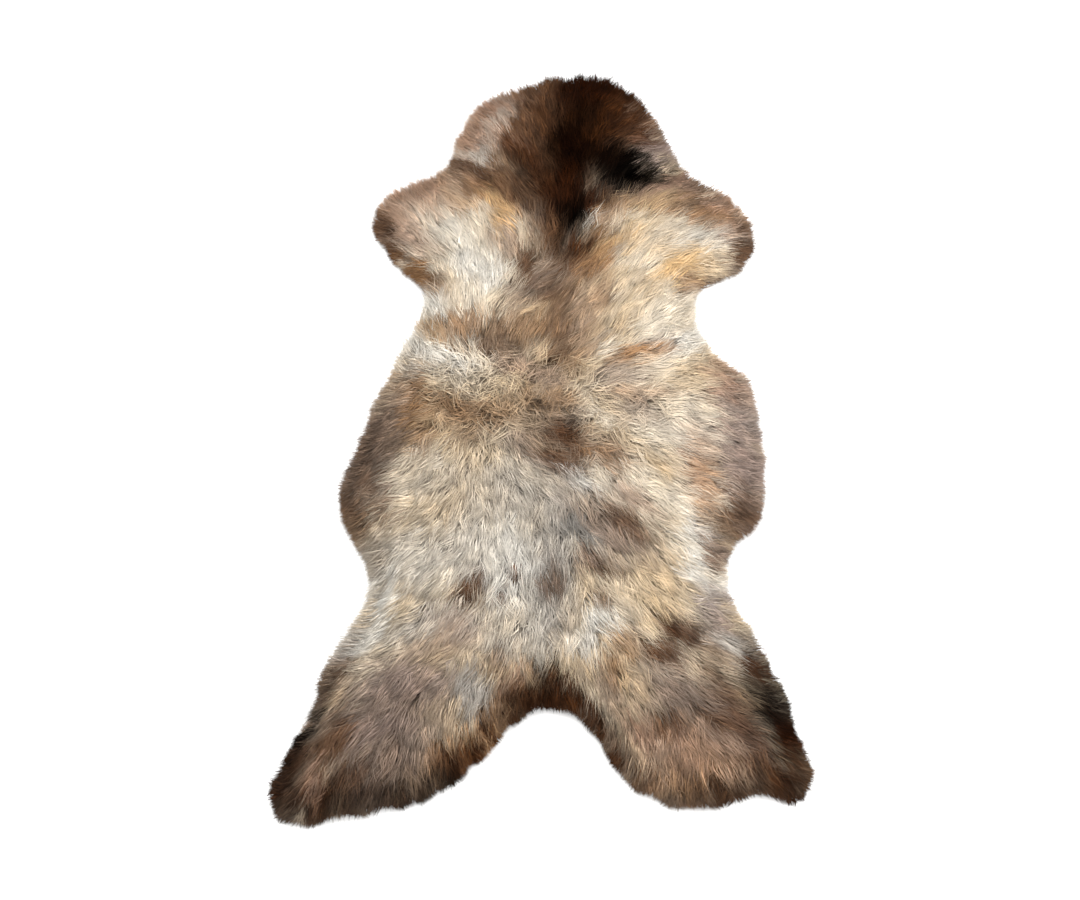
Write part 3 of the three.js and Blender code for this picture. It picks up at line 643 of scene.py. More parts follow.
@dataclass
class PeltForm:
    """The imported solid's outline and height, read from the frame on an even raster.

    step is the raster's pitch, margin how far it goes past the solid, window how many of
    its points the widest triangle spans, and blocks how many parts the distances are
    worked out in. The rest is read from the solid.
    """

    node: str = PELT_NODE
    step: float = 6 * MM
    margin: float = 42 * MM
    outline_blur: float = 8 * MM
    height_blur: float = 5 * MM
    slope_blur: float = 12 * MM
    window: int = 9
    blocks: int = 24
    low: np.ndarray = field(init=False)
    high: np.ndarray = field(init=False)
    size: np.ndarray = field(init=False)
    depth_raster: np.ndarray = field(init=False)
    height_raster: np.ndarray = field(init=False)
    slope_raster: np.ndarray = field(init=False)

    def __post_init__(self) -> None:
        """Reads the solid and works out its rasters."""
        low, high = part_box(self.node)
        self.low = np.array([low.x, low.y]) - self.margin
        span = np.array([high.x, high.y]) + self.margin - self.low
        self.size = np.ceil(span / self.step).astype(int)
        self.high = self.low + self.size * self.step
        raw = self._top_heights(self._triangles())
        inside = blurred((raw > 0).astype(float), self.outline_blur / self.step)
        self.depth_raster = self._depths(inside)
        self.height_raster = blurred(raw, self.height_blur / self.step)
        eased = blurred(self.depth_raster, self.slope_blur / self.step)
        self.slope_raster = np.stack(np.gradient(eased, self.step), axis=-1)

    def _triangles(self) -> np.ndarray:
        """The solid's triangles.

        Returns:
            An array of triangle by corner by coordinate.
        """
        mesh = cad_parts[self.node].data
        mesh.calc_loop_triangles()
        places = np.empty(len(mesh.vertices) * 3, np.float32)
        mesh.vertices.foreach_get("co", places)
        corners = np.empty(len(mesh.loop_triangles) * 3, np.int32)
        mesh.loop_triangles.foreach_get("vertices", corners)
        return places.reshape(-1, 3)[corners].reshape(-1, 3, 3).astype(float)

    def _top_heights(self, triangles: np.ndarray) -> np.ndarray:
        """The highest surface over each raster point, by barycentric coordinates.

        Args:
            triangles: The solid's triangles.

        Returns:
            A raster of heights, 0 off the pelt.
        """
        a, b, c = (triangles[:, k, :2] for k in range(3))
        area = np.cross(b - a, c - a)
        faces_up = area > 1e-10
        triangles, a, b, c, area = (v[faces_up] for v in (triangles, a, b, c, area))
        first = np.floor((triangles[:, :, :2].min(1) - self.low) / self.step).astype(int)
        reach = np.arange(self.window)
        offsets = np.stack(np.meshgrid(reach, reach, indexing="ij"), -1).reshape(-1, 2)
        cells = first[:, None] + offsets[None]
        spots = self.low + cells * self.step
        share_b = np.cross(spots - a[:, None], (c - a)[:, None]) / area[:, None]
        share_c = np.cross((b - a)[:, None], spots - a[:, None]) / area[:, None]
        share_a = 1.0 - share_b - share_c
        held = np.minimum(np.minimum(share_a, share_b), share_c) >= -1e-6
        held &= ((cells >= 0) & (cells <= self.size)).all(-1)
        tops = share_a * triangles[:, None, 0, 2] + share_b * triangles[:, None, 1, 2]
        tops += share_c * triangles[:, None, 2, 2]
        heights = np.zeros(self.size + 1)
        np.maximum.at(heights, tuple(cells[held].T), tops[held])
        return heights

    def _depths(self, inside: np.ndarray) -> np.ndarray:
        """The distance in from the outline, which is where the smoothed cover is a half.

        Args:
            inside: The smoothed cover, from 0 off the pelt to 1 on it.

        Returns:
            A raster of distances, positive on the pelt and negative off it.
        """
        crossings = []
        for axis in (0, 1):
            here = np.take(inside, range(inside.shape[axis] - 1), axis=axis) - 0.5
            there = np.take(inside, range(1, inside.shape[axis]), axis=axis) - 0.5
            cut = np.argwhere(here * there < 0).astype(float)
            index = tuple(cut.astype(int).T)
            cut[:, axis] += here[index] / (here[index] - there[index])
            crossings.append(self.low + cut * self.step)
        rim = np.concatenate(crossings)
        axes = [np.arange(count + 1) for count in self.size]
        grid = np.stack(np.meshgrid(*axes, indexing="ij"), -1)
        blocks = np.array_split((self.low + grid * self.step).reshape(-1, 2), self.blocks)
        away = [np.sqrt(((block[:, None] - rim[None]) ** 2).sum(-1).min(1)) for block in blocks]
        distance = np.concatenate(away).reshape(inside.shape)
        return np.where(inside >= 0.5, distance, -distance)

    def _sample(self, raster: np.ndarray, spots: np.ndarray) -> np.ndarray:
        """The raster between its points, by bilinear interpolation.

        Args:
            raster: Values on the raster, of one or more channels.
            spots: Rows of x and y.

        Returns:
            One value, or row of channels, for each spot.
        """
        place = np.clip((spots - self.low) / self.step, 0, self.size - 1e-6)
        cell = place.astype(int)
        share = place - cell
        i, j = cell[..., 0], cell[..., 1]
        u, v = share[..., 0], share[..., 1]
        if raster.ndim == 3:
            u, v = u[..., None], v[..., None]
        near = raster[i, j] * (1 - u) + raster[i + 1, j] * u
        far = raster[i, j + 1] * (1 - u) + raster[i + 1, j + 1] * u
        return near * (1 - v) + far * v

    def depth(self, spots: np.ndarray) -> np.ndarray:
        """How far in from the outline each spot is."""
        return self._sample(self.depth_raster, spots)

    def height(self, spots: np.ndarray) -> np.ndarray:
        """How high the pile stands at each spot."""
        return self._sample(self.height_raster, spots)

    def outward(self, spots: np.ndarray) -> np.ndarray:
        """The direction to the nearest rim at each spot, in the plan."""
        return -unit(self._sample(self.slope_raster, spots))


@dataclass(frozen=True)
class Mottle:
    """Smooth random values over the plan: a random lattice, eased between its points."""

    cell: float
    seed: int
    lattice: int = 96

    def __call__(self, spots: np.ndarray) -> np.ndarray:
        """The value at each spot, from -1 to 1.

        Args:
            spots: Rows of x and y.

        Returns:
            One value for each spot.
        """
        size = (self.lattice, self.lattice)
        values = np.random.default_rng(self.seed).uniform(-1, 1, size)
        place = spots / self.cell + self.lattice / 2
        cell = np.floor(place).astype(int)
        share = soft_step(0.0, 1.0, place - cell)
        left, low = cell[..., 0] % self.lattice, cell[..., 1] % self.lattice
        right, high = (left + 1) % self.lattice, (low + 1) % self.lattice
        near = values[left, low] * (1 - share[..., 0]) + values[right, low] * share[..., 0]
        far = values[left, high] * (1 - share[..., 0]) + values[right, high] * share[..., 0]
        return near * (1 - share[..., 1]) + far * share[..., 1]


@dataclass
class Coat:
    """The wool's colour and lie at any place, from the charts.

    The nap is read nap_level above the floor and each of its rows fades over nap_spread;
    the rim's rows likewise, and rim_hold draws the reach to 0 far from any of them. splay
    turns the wool outwards nearer the rim than splay_depth. swirl is the random bend, which
    is least where the wool is calm and restless more. ragged is how many pixels the
    patches' edges wander, in coarse and fine cells, and patch_fall how hard they are.
    """

    view: PhotoView
    form: PeltForm
    nap_spread: float = 46 * MM
    nap_level: float = 45 * MM
    rim_spread: float = 60 * MM
    rim_level: float = 10 * MM
    rim_hold: float = 0.15
    rim_depth: float = 9 * MM
    splay_depth: float = 46 * MM
    splay: float = 0.9
    swirl: float = 0.29
    swirl_cell: float = 24 * MM
    swirl_seeds: tuple[int, int] = (45, 46)
    restless: float = 1.6
    ragged: float = 7.0
    ragged_cells: tuple[float, float] = (22 * MM, 8 * MM)
    ragged_seeds: tuple[int, int] = (11, 13)
    fine_share: float = 0.6
    ground_cell: float = 50 * MM
    ground_seed: int = 15
    patch_fall: float = 0.7
    richness: float = 1.17

    def heading(self, spots: np.ndarray) -> tuple[np.ndarray, np.ndarray]:
        """The lie of the wool: the chart's headings, weighted by nearness, splayed at the rim.

        A slow random swirl bends the lie a little everywhere and rules where the headings
        cancel out, so that a parting breaks up into small curls.

        Args:
            spots: Rows of x and y.

        Returns:
            A unit direction in the plan for each spot, and how calm the wool is there,
            from 0 at a parting or a curl to 1.
        """
        turns = np.radians([row.heading for row in NAP])
        arrows = np.stack([np.cos(turns), np.sin(turns)], -1)
        middles = self.view.to_plan(NAP, self.nap_level)
        weights = nearness(spots, middles, self.nap_spread) + 1e-9
        pull = weights @ arrows / weights.sum(1, keepdims=True)
        spreads = np.array([row.spread for row in CURLS]) * MM
        curled = nearness(spots, self.view.to_plan(CURLS, self.nap_level), spreads)
        curl = curled @ [row.strength for row in CURLS]
        calm = np.clip(np.linalg.norm(pull, axis=1) - curl, 0.0, 1.0)
        swirl = np.stack([Mottle(self.swirl_cell, seed)(spots) for seed in self.swirl_seeds], -1)
        lie = unit(pull + self.swirl * (self.restless - calm[:, None]) * swirl)
        share = self.splay * (1 - soft_step(0.0, self.splay_depth, self.form.depth(spots)))
        lie = unit(lie * (1 - share[:, None]) + self.form.outward(spots) * share[:, None])
        return lie, calm

    def reach(self, spots: np.ndarray) -> np.ndarray:
        """How far past the rim the wool's tips go: the rim chart, weighted by nearness."""
        weights = nearness(spots, self.view.to_plan(RIM, self.rim_level), self.rim_spread)
        return MM * (weights @ [row.reach for row in RIM]) / (weights.sum(1) + self.rim_hold)

    def tone(self, points: np.ndarray) -> np.ndarray:
        """The wool's colour: the patches laid one over the other, as a painter would.

        A patch covers strength * exp(-patch_fall * q^4), with q the distance from its
        middle in half-sizes, and the sight line wanders so that its edge is ragged. Wool
        beyond the rim takes the colour a little inside it. Light passed between the
        strands pales them, so a strand's own colour is the tone seen to the power richness.

        Args:
            points: Places on the wool, one row of x, y and z each.

        Returns:
            Linear red, green and blue for each point.
        """
        spots = points[:, :2]
        short = np.clip(self.rim_depth - self.form.depth(spots), 0.0, None)[:, None]
        held = np.column_stack([spots - short * self.form.outward(spots), points[:, 2]])
        pixels = self.view.project(held)
        coarse, fine = self.ragged_cells
        for axis, seed in enumerate(self.ragged_seeds):
            wander = Mottle(coarse, seed)(spots) + self.fine_share * Mottle(fine, seed + 1)(spots)
            pixels[:, axis] += self.ragged * wander
        share = 0.5 + 0.5 * Mottle(self.ground_cell, self.ground_seed)(spots)
        colour = np.outer(1 - share, Tone.CREAM.linear()) + np.outer(share, Tone.GOLD.linear())
        for patch in PATCHES:
            turn = np.radians(patch.turn)
            across, down = pixels[:, 0] - patch.x, pixels[:, 1] - patch.y
            along = (across * np.cos(turn) - down * np.sin(turn)) / patch.long
            aside = (across * np.sin(turn) + down * np.cos(turn)) / patch.short
            cover = patch.strength * np.exp(-self.patch_fall * (along**2 + aside**2) ** 2)
            colour += cover[:, None] * (patch.tone.linear() - colour)
        return colour**self.richness


def add_mesh(name: str, points: np.ndarray, faces: np.ndarray) -> bpy.types.Object:
    """A linked object of triangles or quads, smooth shaded.

    Args:
        name: The piece's name.
        points: Rows of x, y and z.
        faces: Rows of three or four point numbers.

    Returns:
        The new object, at the origin.
    """
    count, sides = faces.shape
    mesh = bpy.data.meshes.new(name)
    mesh.vertices.add(len(points))
    mesh.vertices.foreach_set("co", points.astype(np.float32).ravel())
    mesh.loops.add(count * sides)
    mesh.loops.foreach_set("vertex_index", faces.astype(np.int32).ravel())
    mesh.polygons.add(count)
    mesh.polygons.foreach_set("loop_start", np.arange(0, count * sides, sides, dtype=np.int32))
    mesh.polygons.foreach_set("use_smooth", np.ones(count, bool))
    mesh.update(calc_edges=True)
    mesh.validate()
    piece = bpy.data.objects.new(name, mesh)
    bpy.context.collection.objects.link(piece)
    return piece


def paint(piece: bpy.types.Object, colours: np.ndarray) -> None:
    """Stores a linear colour for each point of a piece, for its material to read.

    Args:
        piece: The piece.
        colours: Rows of red, green and blue, in the order of its points.
    """
    layer = piece.data.color_attributes.new(TONE_ATTRIBUTE, "FLOAT_COLOR", "POINT")
    full = np.concatenate([colours, np.ones((len(colours), 1))], axis=1)
    layer.data.foreach_set("color", full.astype(np.float32).ravel())


class Value:
    """A shader socket that Python's arithmetic works on."""

    def __init__(self, graph: "Graph", socket: bpy.types.NodeSocket) -> None:
        """Wraps an output socket of the graph."""
        self.graph = graph
        self.socket = socket

    def _math(self, operation: str, first: Any, second: Any) -> "Value":
        """One Math node on two values."""
        return self.graph.node("ShaderNodeMath", {"operation": operation}, {0: first, 1: second})

    def __add__(self, other: Any) -> "Value":
        """self + other."""
        return self._math("ADD", self, other)

    def __sub__(self, other: Any) -> "Value":
        """self - other."""
        return self._math("SUBTRACT", self, other)

    def __rsub__(self, other: Any) -> "Value":
        """other - self."""
        return self._math("SUBTRACT", other, self)

    def __mul__(self, other: Any) -> "Value":
        """self * other."""
        return self._math("MULTIPLY", self, other)

    __radd__ = __add__
    __rmul__ = __mul__


class Graph:
    """A material's node tree, built from expressions."""

    def __init__(self, name: str) -> None:
        """Starts an empty material of that name."""
        self.material = bpy.data.materials.new(name)
        self.material.use_nodes = True
        self.tree = self.material.node_tree
        self.tree.nodes.clear()

    def node(self, kind: str, settings: dict[str, Any], inputs: dict[Any, Any],
             output: Any = 0) -> Value | None:
        """Adds one node.

        Args:
            kind: The node's type.
            settings: Its properties, set first.
            inputs: Its sockets by name or number, each a Value or a constant.
            output: The output socket to return.

        Returns:
            That output, ready for more maths, or nothing for a node that has none.
        """
        made = self.tree.nodes.new(kind)
        for key, value in settings.items():
            setattr(made, key, value)
        for key, value in inputs.items():
            if isinstance(value, Value):
                self.tree.links.new(value.socket, made.inputs[key])
            else:
                made.inputs[key].default_value = value
        return Value(self, made.outputs[output]) if made.outputs else None

    def noise(self, scale: float, detail: float) -> Value:
        """Cloudy noise on the piece's own coordinates.

        Args:
            scale: How many clouds there are to a metre.
            detail: How many finer layers it has.

        Returns:
            A value from 0 to 1.
        """
        where = self.node("ShaderNodeTexCoord", {}, {}, "Object")
        inputs = {"Vector": where, "Scale": scale, "Detail": detail}
        return self.node("ShaderNodeTexNoise", {}, inputs, "Fac")

    def mix(self, share: Any, first: Any, second: Any, blend: str = "MIX") -> Value:
        """Two colours mixed, by share of the second."""
        settings = {"data_type": "RGBA", "blend_type": blend}
        return self.node("ShaderNodeMix", settings, {0: share, 6: first, 7: second}, 2)

    def painted(self, value: Value) -> Value:
        """The piece's painted tone, made lighter or darker.

        Args:
            value: What the tone is multiplied by.

        Returns:
            A colour.
        """
        tone = self.node("ShaderNodeVertexColor", {"layer_name": TONE_ATTRIBUTE}, {}, "Color")
        channels = {"Red": value, "Green": value, "Blue": value}
        grey = self.node("ShaderNodeCombineColor", {}, channels)
        return self.mix(1.0, tone, grey, "MULTIPLY")

    def bump(self, height: Value, distance: float, strength: float) -> Value:
        """A normal that rises and falls with height."""
        inputs = {"Height": height, "Distance": distance, "Strength": strength}
        return self.node("ShaderNodeBump", {}, inputs, "Normal")

    def finish(self, inputs: dict[str, Any]) -> bpy.types.Material:
        """Ends the graph in a Principled shader.

        Args:
            inputs: The shader's sockets by name.

        Returns:
            The finished material.
        """
        shader = self.node("ShaderNodeBsdfPrincipled", {}, inputs)
        self.node("ShaderNodeOutputMaterial", {}, {"Surface": shader})
        return self.material


@dataclass(frozen=True)
class WoolFinish:
    """Matte wool fibre: the painted tone, broken up finely along the strands."""

    name: str = "wool_fibre"
    roughness: float = 0.8
    unevenness: float = 0.2
    specular: float = 0.01
    grain: float = 420.0
    detail: float = 3.0
    contrast: float = 0.35

    def material(self) -> bpy.types.Material:
        """The finish on a node tree of its own.

        Returns:
            The material.
        """
        graph = Graph(self.name)
        grain = graph.noise(self.grain, self.detail)
        return graph.finish({
            "Base Color": graph.painted(1.0 - self.contrast / 2 + self.contrast * grain),
            "Roughness": self.roughness + self.unevenness * (grain - 0.5),
            "Specular IOR Level": self.specular,
        })


@dataclass(frozen=True)
class BedFinish:
    """The dense wool between the locks: the painted tone with crimped, matted relief."""

    name: str = "wool_bed"
    roughness: float = 0.9
    specular: float = 0.1
    grain: float = 160.0
    detail: float = 5.0
    darkest: float = 0.55
    contrast: float = 0.7
    relief: float = 2.5 * MM
    strength: float = 0.8

    def material(self) -> bpy.types.Material:
        """The finish on a node tree of its own.

        Returns:
            The material.
        """
        graph = Graph(self.name)
        mat = graph.noise(self.grain, self.detail)
        return graph.finish({
            "Base Color": graph.painted(self.darkest + self.contrast * mat),
            "Roughness": self.roughness,
            "Specular IOR Level": self.specular,
            "Normal": graph.bump(mat, self.relief, self.strength),
        })


@dataclass(frozen=True)
class SkinFinish:
    """The tanned flesh side: buff suede with a soft nap and faint blotches."""

    name: str = "tanned_skin"
    buff: tuple[int, int, int] = (222, 205, 176)
    blotch: tuple[int, int, int] = (190, 166, 130)
    roughness: float = 0.85
    unevenness: float = 0.1
    sheen: float = 0.2
    cloud_scale: float = 9.0
    nap_scale: float = 900.0
    nap_in_colour: float = 0.2
    nap_in_relief: float = 0.6
    relief: float = 0.3 * MM
    strength: float = 0.5

    def material(self) -> bpy.types.Material:
        """The finish on a node tree of its own.

        Returns:
            The material.
        """
        graph = Graph(self.name)
        clouds = graph.noise(self.cloud_scale, 4.0)
        nap = graph.noise(self.nap_scale, 2.0)
        buff, blotch = (tuple(srgb(*tone)) + (1.0,) for tone in (self.buff, self.blotch))
        stain = clouds * (1.0 - self.nap_in_colour) + nap * self.nap_in_colour
        height = nap * self.nap_in_relief + clouds * (1.0 - self.nap_in_relief)
        return graph.finish({
            "Base Color": graph.mix(stain, buff, blotch),
            "Roughness": self.roughness + self.unevenness * (nap - 0.5),
            "Sheen Weight": self.sheen,
            "Normal": graph.bump(height, self.relief, self.strength),
        })


@dataclass(frozen=True)
class FloorFinish:
    """A plain pale studio floor, hardly clouded."""

    name: str = "pale_floor"
    tone: tuple[float, float, float] = (0.74, 0.74, 0.735)
    clouded: float = 0.98
    cloud_scale: float = 1.5
    roughness: float = 0.9

    def material(self) -> bpy.types.Material:
        """The finish on a node tree of its own.

        Returns:
            The material.
        """
        graph = Graph(self.name)
        clear = self.tone + (1.0,)
        clouded = tuple(self.clouded * part for part in self.tone) + (1.0,)
        colour = graph.mix(graph.noise(self.cloud_scale, 2.0), clear, clouded)
        return graph.finish({"Base Color": colour, "Roughness": self.roughness})


def dress(piece: bpy.types.Object, material: bpy.types.Material) -> None:
    """Gives a piece its material and ties it to the frame in the pelt's place.

    Args:
        piece: The piece.
        material: Its finish.
    """
    piece.data.materials.append(material)
    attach(piece, ROOT_BODY)
    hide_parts(PELT_NODE)


def report(piece: bpy.types.Object) -> None:
    """Logs a finished piece and its size in triangles."""
    LOG.info("%s: %d triangles", piece.name, len(piece.data.loops) - 2 * len(piece.data.polygons))


@dataclass(frozen=True)
class Slab:
    """A closed slab over the pelt's plan, on a square grid snapped to the outline.

    inset is how far inside the outline it ends, and snap how far from that line, in
    cells, a point of the grid may be to be moved onto it.
    """

    form: PeltForm
    cell: float
    inset: float
    snap: float = 0.6
    passes: int = 3

    def grid(self) -> tuple[np.ndarray, np.ndarray]:
        """The grid's points inside the outline and the quads between them.

        A point near the outline slides along the rim's direction until it lies on it:
        p + outward * (depth - inset).

        Returns:
            Rows of x and y, and rows of four point numbers.
        """
        counts = np.ceil((self.form.high - self.form.low) / self.cell).astype(int)
        axes = [self.form.low[a] + self.cell * np.arange(counts[a] + 1) for a in (0, 1)]
        spots = np.stack(np.meshgrid(*axes, indexing="ij"), -1)
        depth = self.form.depth(spots.reshape(-1, 2)).reshape(spots.shape[:2]) - self.inset
        kept = depth > -self.snap * self.cell
        corners = (slice(None, -1), slice(1, None))
        around = [(corners[a], corners[b]) for a, b in ((0, 0), (1, 0), (1, 1), (0, 1))]
        whole = np.all([kept[corner] for corner in around], axis=0)
        numbers = np.arange(kept.size).reshape(kept.shape)
        quads = np.stack([numbers[corner] for corner in around], -1)[whole]
        used, faces = np.unique(quads, return_inverse=True)
        flat = spots.reshape(-1, 2)[used]
        edge = np.abs(depth.ravel()[used]) < self.snap * self.cell
        for _ in range(self.passes):
            short = self.form.depth(flat) - self.inset
            flat = flat + np.where(edge, short, 0.0)[:, None] * self.form.outward(flat)
        return flat, faces.reshape(-1, 4)

    def build(self, name: str, low: np.ndarray, high: np.ndarray, flat: np.ndarray,
              faces: np.ndarray) -> bpy.types.Object:
        """Closes the grid between a lower and an upper surface.

        Args:
            name: The piece's name.
            low: The lower height at each point.
            high: The upper height at each point.
            flat: Rows of x and y.
            faces: Rows of four point numbers.

        Returns:
            The closed slab.
        """
        count = len(flat)
        points = np.concatenate([np.column_stack([flat, high]), np.column_stack([flat, low])])
        edges = np.concatenate([faces[:, [k, (k + 1) % 4]] for k in range(4)])
        keys = np.sort(edges, axis=1) @ np.array([count, 1])
        _, first, uses = np.unique(keys, return_index=True, return_counts=True)
        rim = edges[first[uses == 1]]
        walls = np.stack([rim[:, 1], rim[:, 0], rim[:, 0] + count, rim[:, 1] + count], axis=1)
        return add_mesh(name, points, np.concatenate([faces, faces[:, ::-1] + count, walls]))


@dataclass
class Hide:
    """The tanned skin under the wool, cut a little inside it.

    area and flat are its surface and its two sides laid out, known once it is built.
    """

    form: PeltForm
    cell: float = 9 * MM
    inset: float = 14 * MM
    thickness: float = 1.8 * MM
    ripple: float = 0.25 * MM
    ripple_cell: float = 30 * MM
    ripple_seed: int = 21
    area: float = field(init=False, default=0.0)
    flat: tuple[float, float] = field(init=False, default=(0.0, 0.0))

    def build(self) -> bpy.types.Object:
        """The skin as a thin closed sheet, flat below and faintly uneven above.

        Its area is the sum over its quads of half the cross product of their diagonals.

        Returns:
            The skin's piece.
        """
        slab = Slab(self.form, self.cell, self.inset)
        flat, faces = slab.grid()
        ripples = Mottle(self.ripple_cell, self.ripple_seed)(flat)
        top = self.thickness + self.ripple * ripples
        piece = slab.build("hide", np.zeros(len(flat)), top, flat, faces)
        corners = flat[faces]
        diagonals = corners[:, 2] - corners[:, 0], corners[:, 3] - corners[:, 1]
        self.area = float(np.abs(np.cross(*diagonals)).sum() / 2)
        self.flat = tuple(float(side) for side in flat.max(0) - flat.min(0))
        dress(piece, SkinFinish().material())
        return piece


@dataclass(frozen=True)
class WoolBed:
    """The dense lower wool that fills the pile between skin and locks.

    foot is its underside's height, least its thickness at the rim, and fill how much of
    the pile's height it takes. shade is how much darker than the coat's tone it is painted,
    as painted shade deep in the pile under the locks.
    """

    form: PeltForm
    coat: Coat
    cell: float = 8 * MM
    inset: float = 7 * MM
    foot: float = 2.2 * MM
    least: float = 1 * MM
    fill: float = 0.72
    relief: float = 2.0 * MM
    relief_cells: tuple[float, float] = (17 * MM, 30 * MM)
    relief_seeds: tuple[int, int] = (31, 32)
    shade: float = 0.78

    def build(self) -> bpy.types.Object:
        """The bed as a closed lumpy slab: fill * pile height, plus fine relief.

        Returns:
            The bed's piece.
        """
        slab = Slab(self.form, self.cell, self.inset)
        flat, faces = slab.grid()
        fine, coarse = (Mottle(*pair)(flat) for pair in zip(self.relief_cells, self.relief_seeds))
        lumps = self.relief * (fine + coarse)
        pile = self.form.height(flat)
        top = np.maximum(self.fill * pile + lumps, self.foot + self.least)
        piece = slab.build("wool_bed", np.full(len(flat), self.foot), top, flat, faces)
        # The bed is painted darker than the coat, as painted shade deep in the pile.
        colours = self.shade * self.coat.tone(np.column_stack([flat, pile]))
        paint(piece, np.concatenate([colours, colours]))
        dress(piece, BedFinish().material())
        return piece


@dataclass(frozen=True)
class Habit:
    """How the wool of every layer grows.

    to_middle is how far towards its lock's middle a strand's lie is read, and own the
    share of a lock's random turn and bow that each strand adds for itself. stray and
    curl_bow are how much more it turns and bows where the nap parts, and bow its sideways
    bend as a share of its length. A lock has the shortest share of its length at a parting
    and all of it from full_calm on. Tips gather by rim_gather of the layer's gather at the
    rim and by all of it from gather_depth in. strand_lengths, lock_lengths and widths are
    random shares of a layer's own sizes, and least_fit the most that the rim shortens a
    strand. fall is the power by which a strand rises from its root to the pile's top,
    lock_lift the locks' own unevenness, lock_edge how far off its lock's middle a strand
    counts as, in half-pitches, and roll how far it turns about its length, in radians.
    """

    to_middle: float = 0.6
    own: float = 0.35
    stray: float = 6.0
    bow: float = 0.09
    curl_bow: float = 3.0
    shortest: float = 0.5
    full_calm: float = 0.85
    strand_lengths: tuple[float, float] = (0.7, 1.2)
    lock_lengths: tuple[float, float] = (0.85, 1.1)
    least_fit: float = 0.25
    rim_gather: float = 0.3
    gather_depth: float = 32 * MM
    fall: float = 1.5
    lock_lift: float = 1.2 * MM
    lock_edge: float = 1.3
    widths: tuple[float, float] = (0.7, 1.3)
    roll: float = 0.5


@dataclass(frozen=True)
class FibreShade:
    """How the wool's value and warmth change from lock to lock and strand to strand.

    Each pair is the least and the range. ridge is the value along a lock's middle and
    groove how much darker the wool is between locks: painted light on the locks' crests
    and painted shade in the grooves between them. dark_spread and pale_spread set the
    power that spreads the values, which falls as the tone gets lighter.
    """

    lock_value: tuple[float, float] = (0.78, 0.44)
    strand_value: tuple[float, float] = (0.86, 0.28)
    warmth: tuple[float, float] = (0.9, 0.2)
    ridge_light: float = 1.1
    groove_shade: float = 0.24
    dark_spread: float = 1.75
    pale_spread: float = 1.5
    display_power: float = 1 / 2.2
    sample_range: tuple[float, float] = (0.1, 1.0)


@dataclass(frozen=True)
class Strands:
    """A layer's strands: their stations, random shares and places within their locks."""

    points: np.ndarray
    lock_share: np.ndarray
    strand_share: np.ndarray
    off_middle: np.ndarray


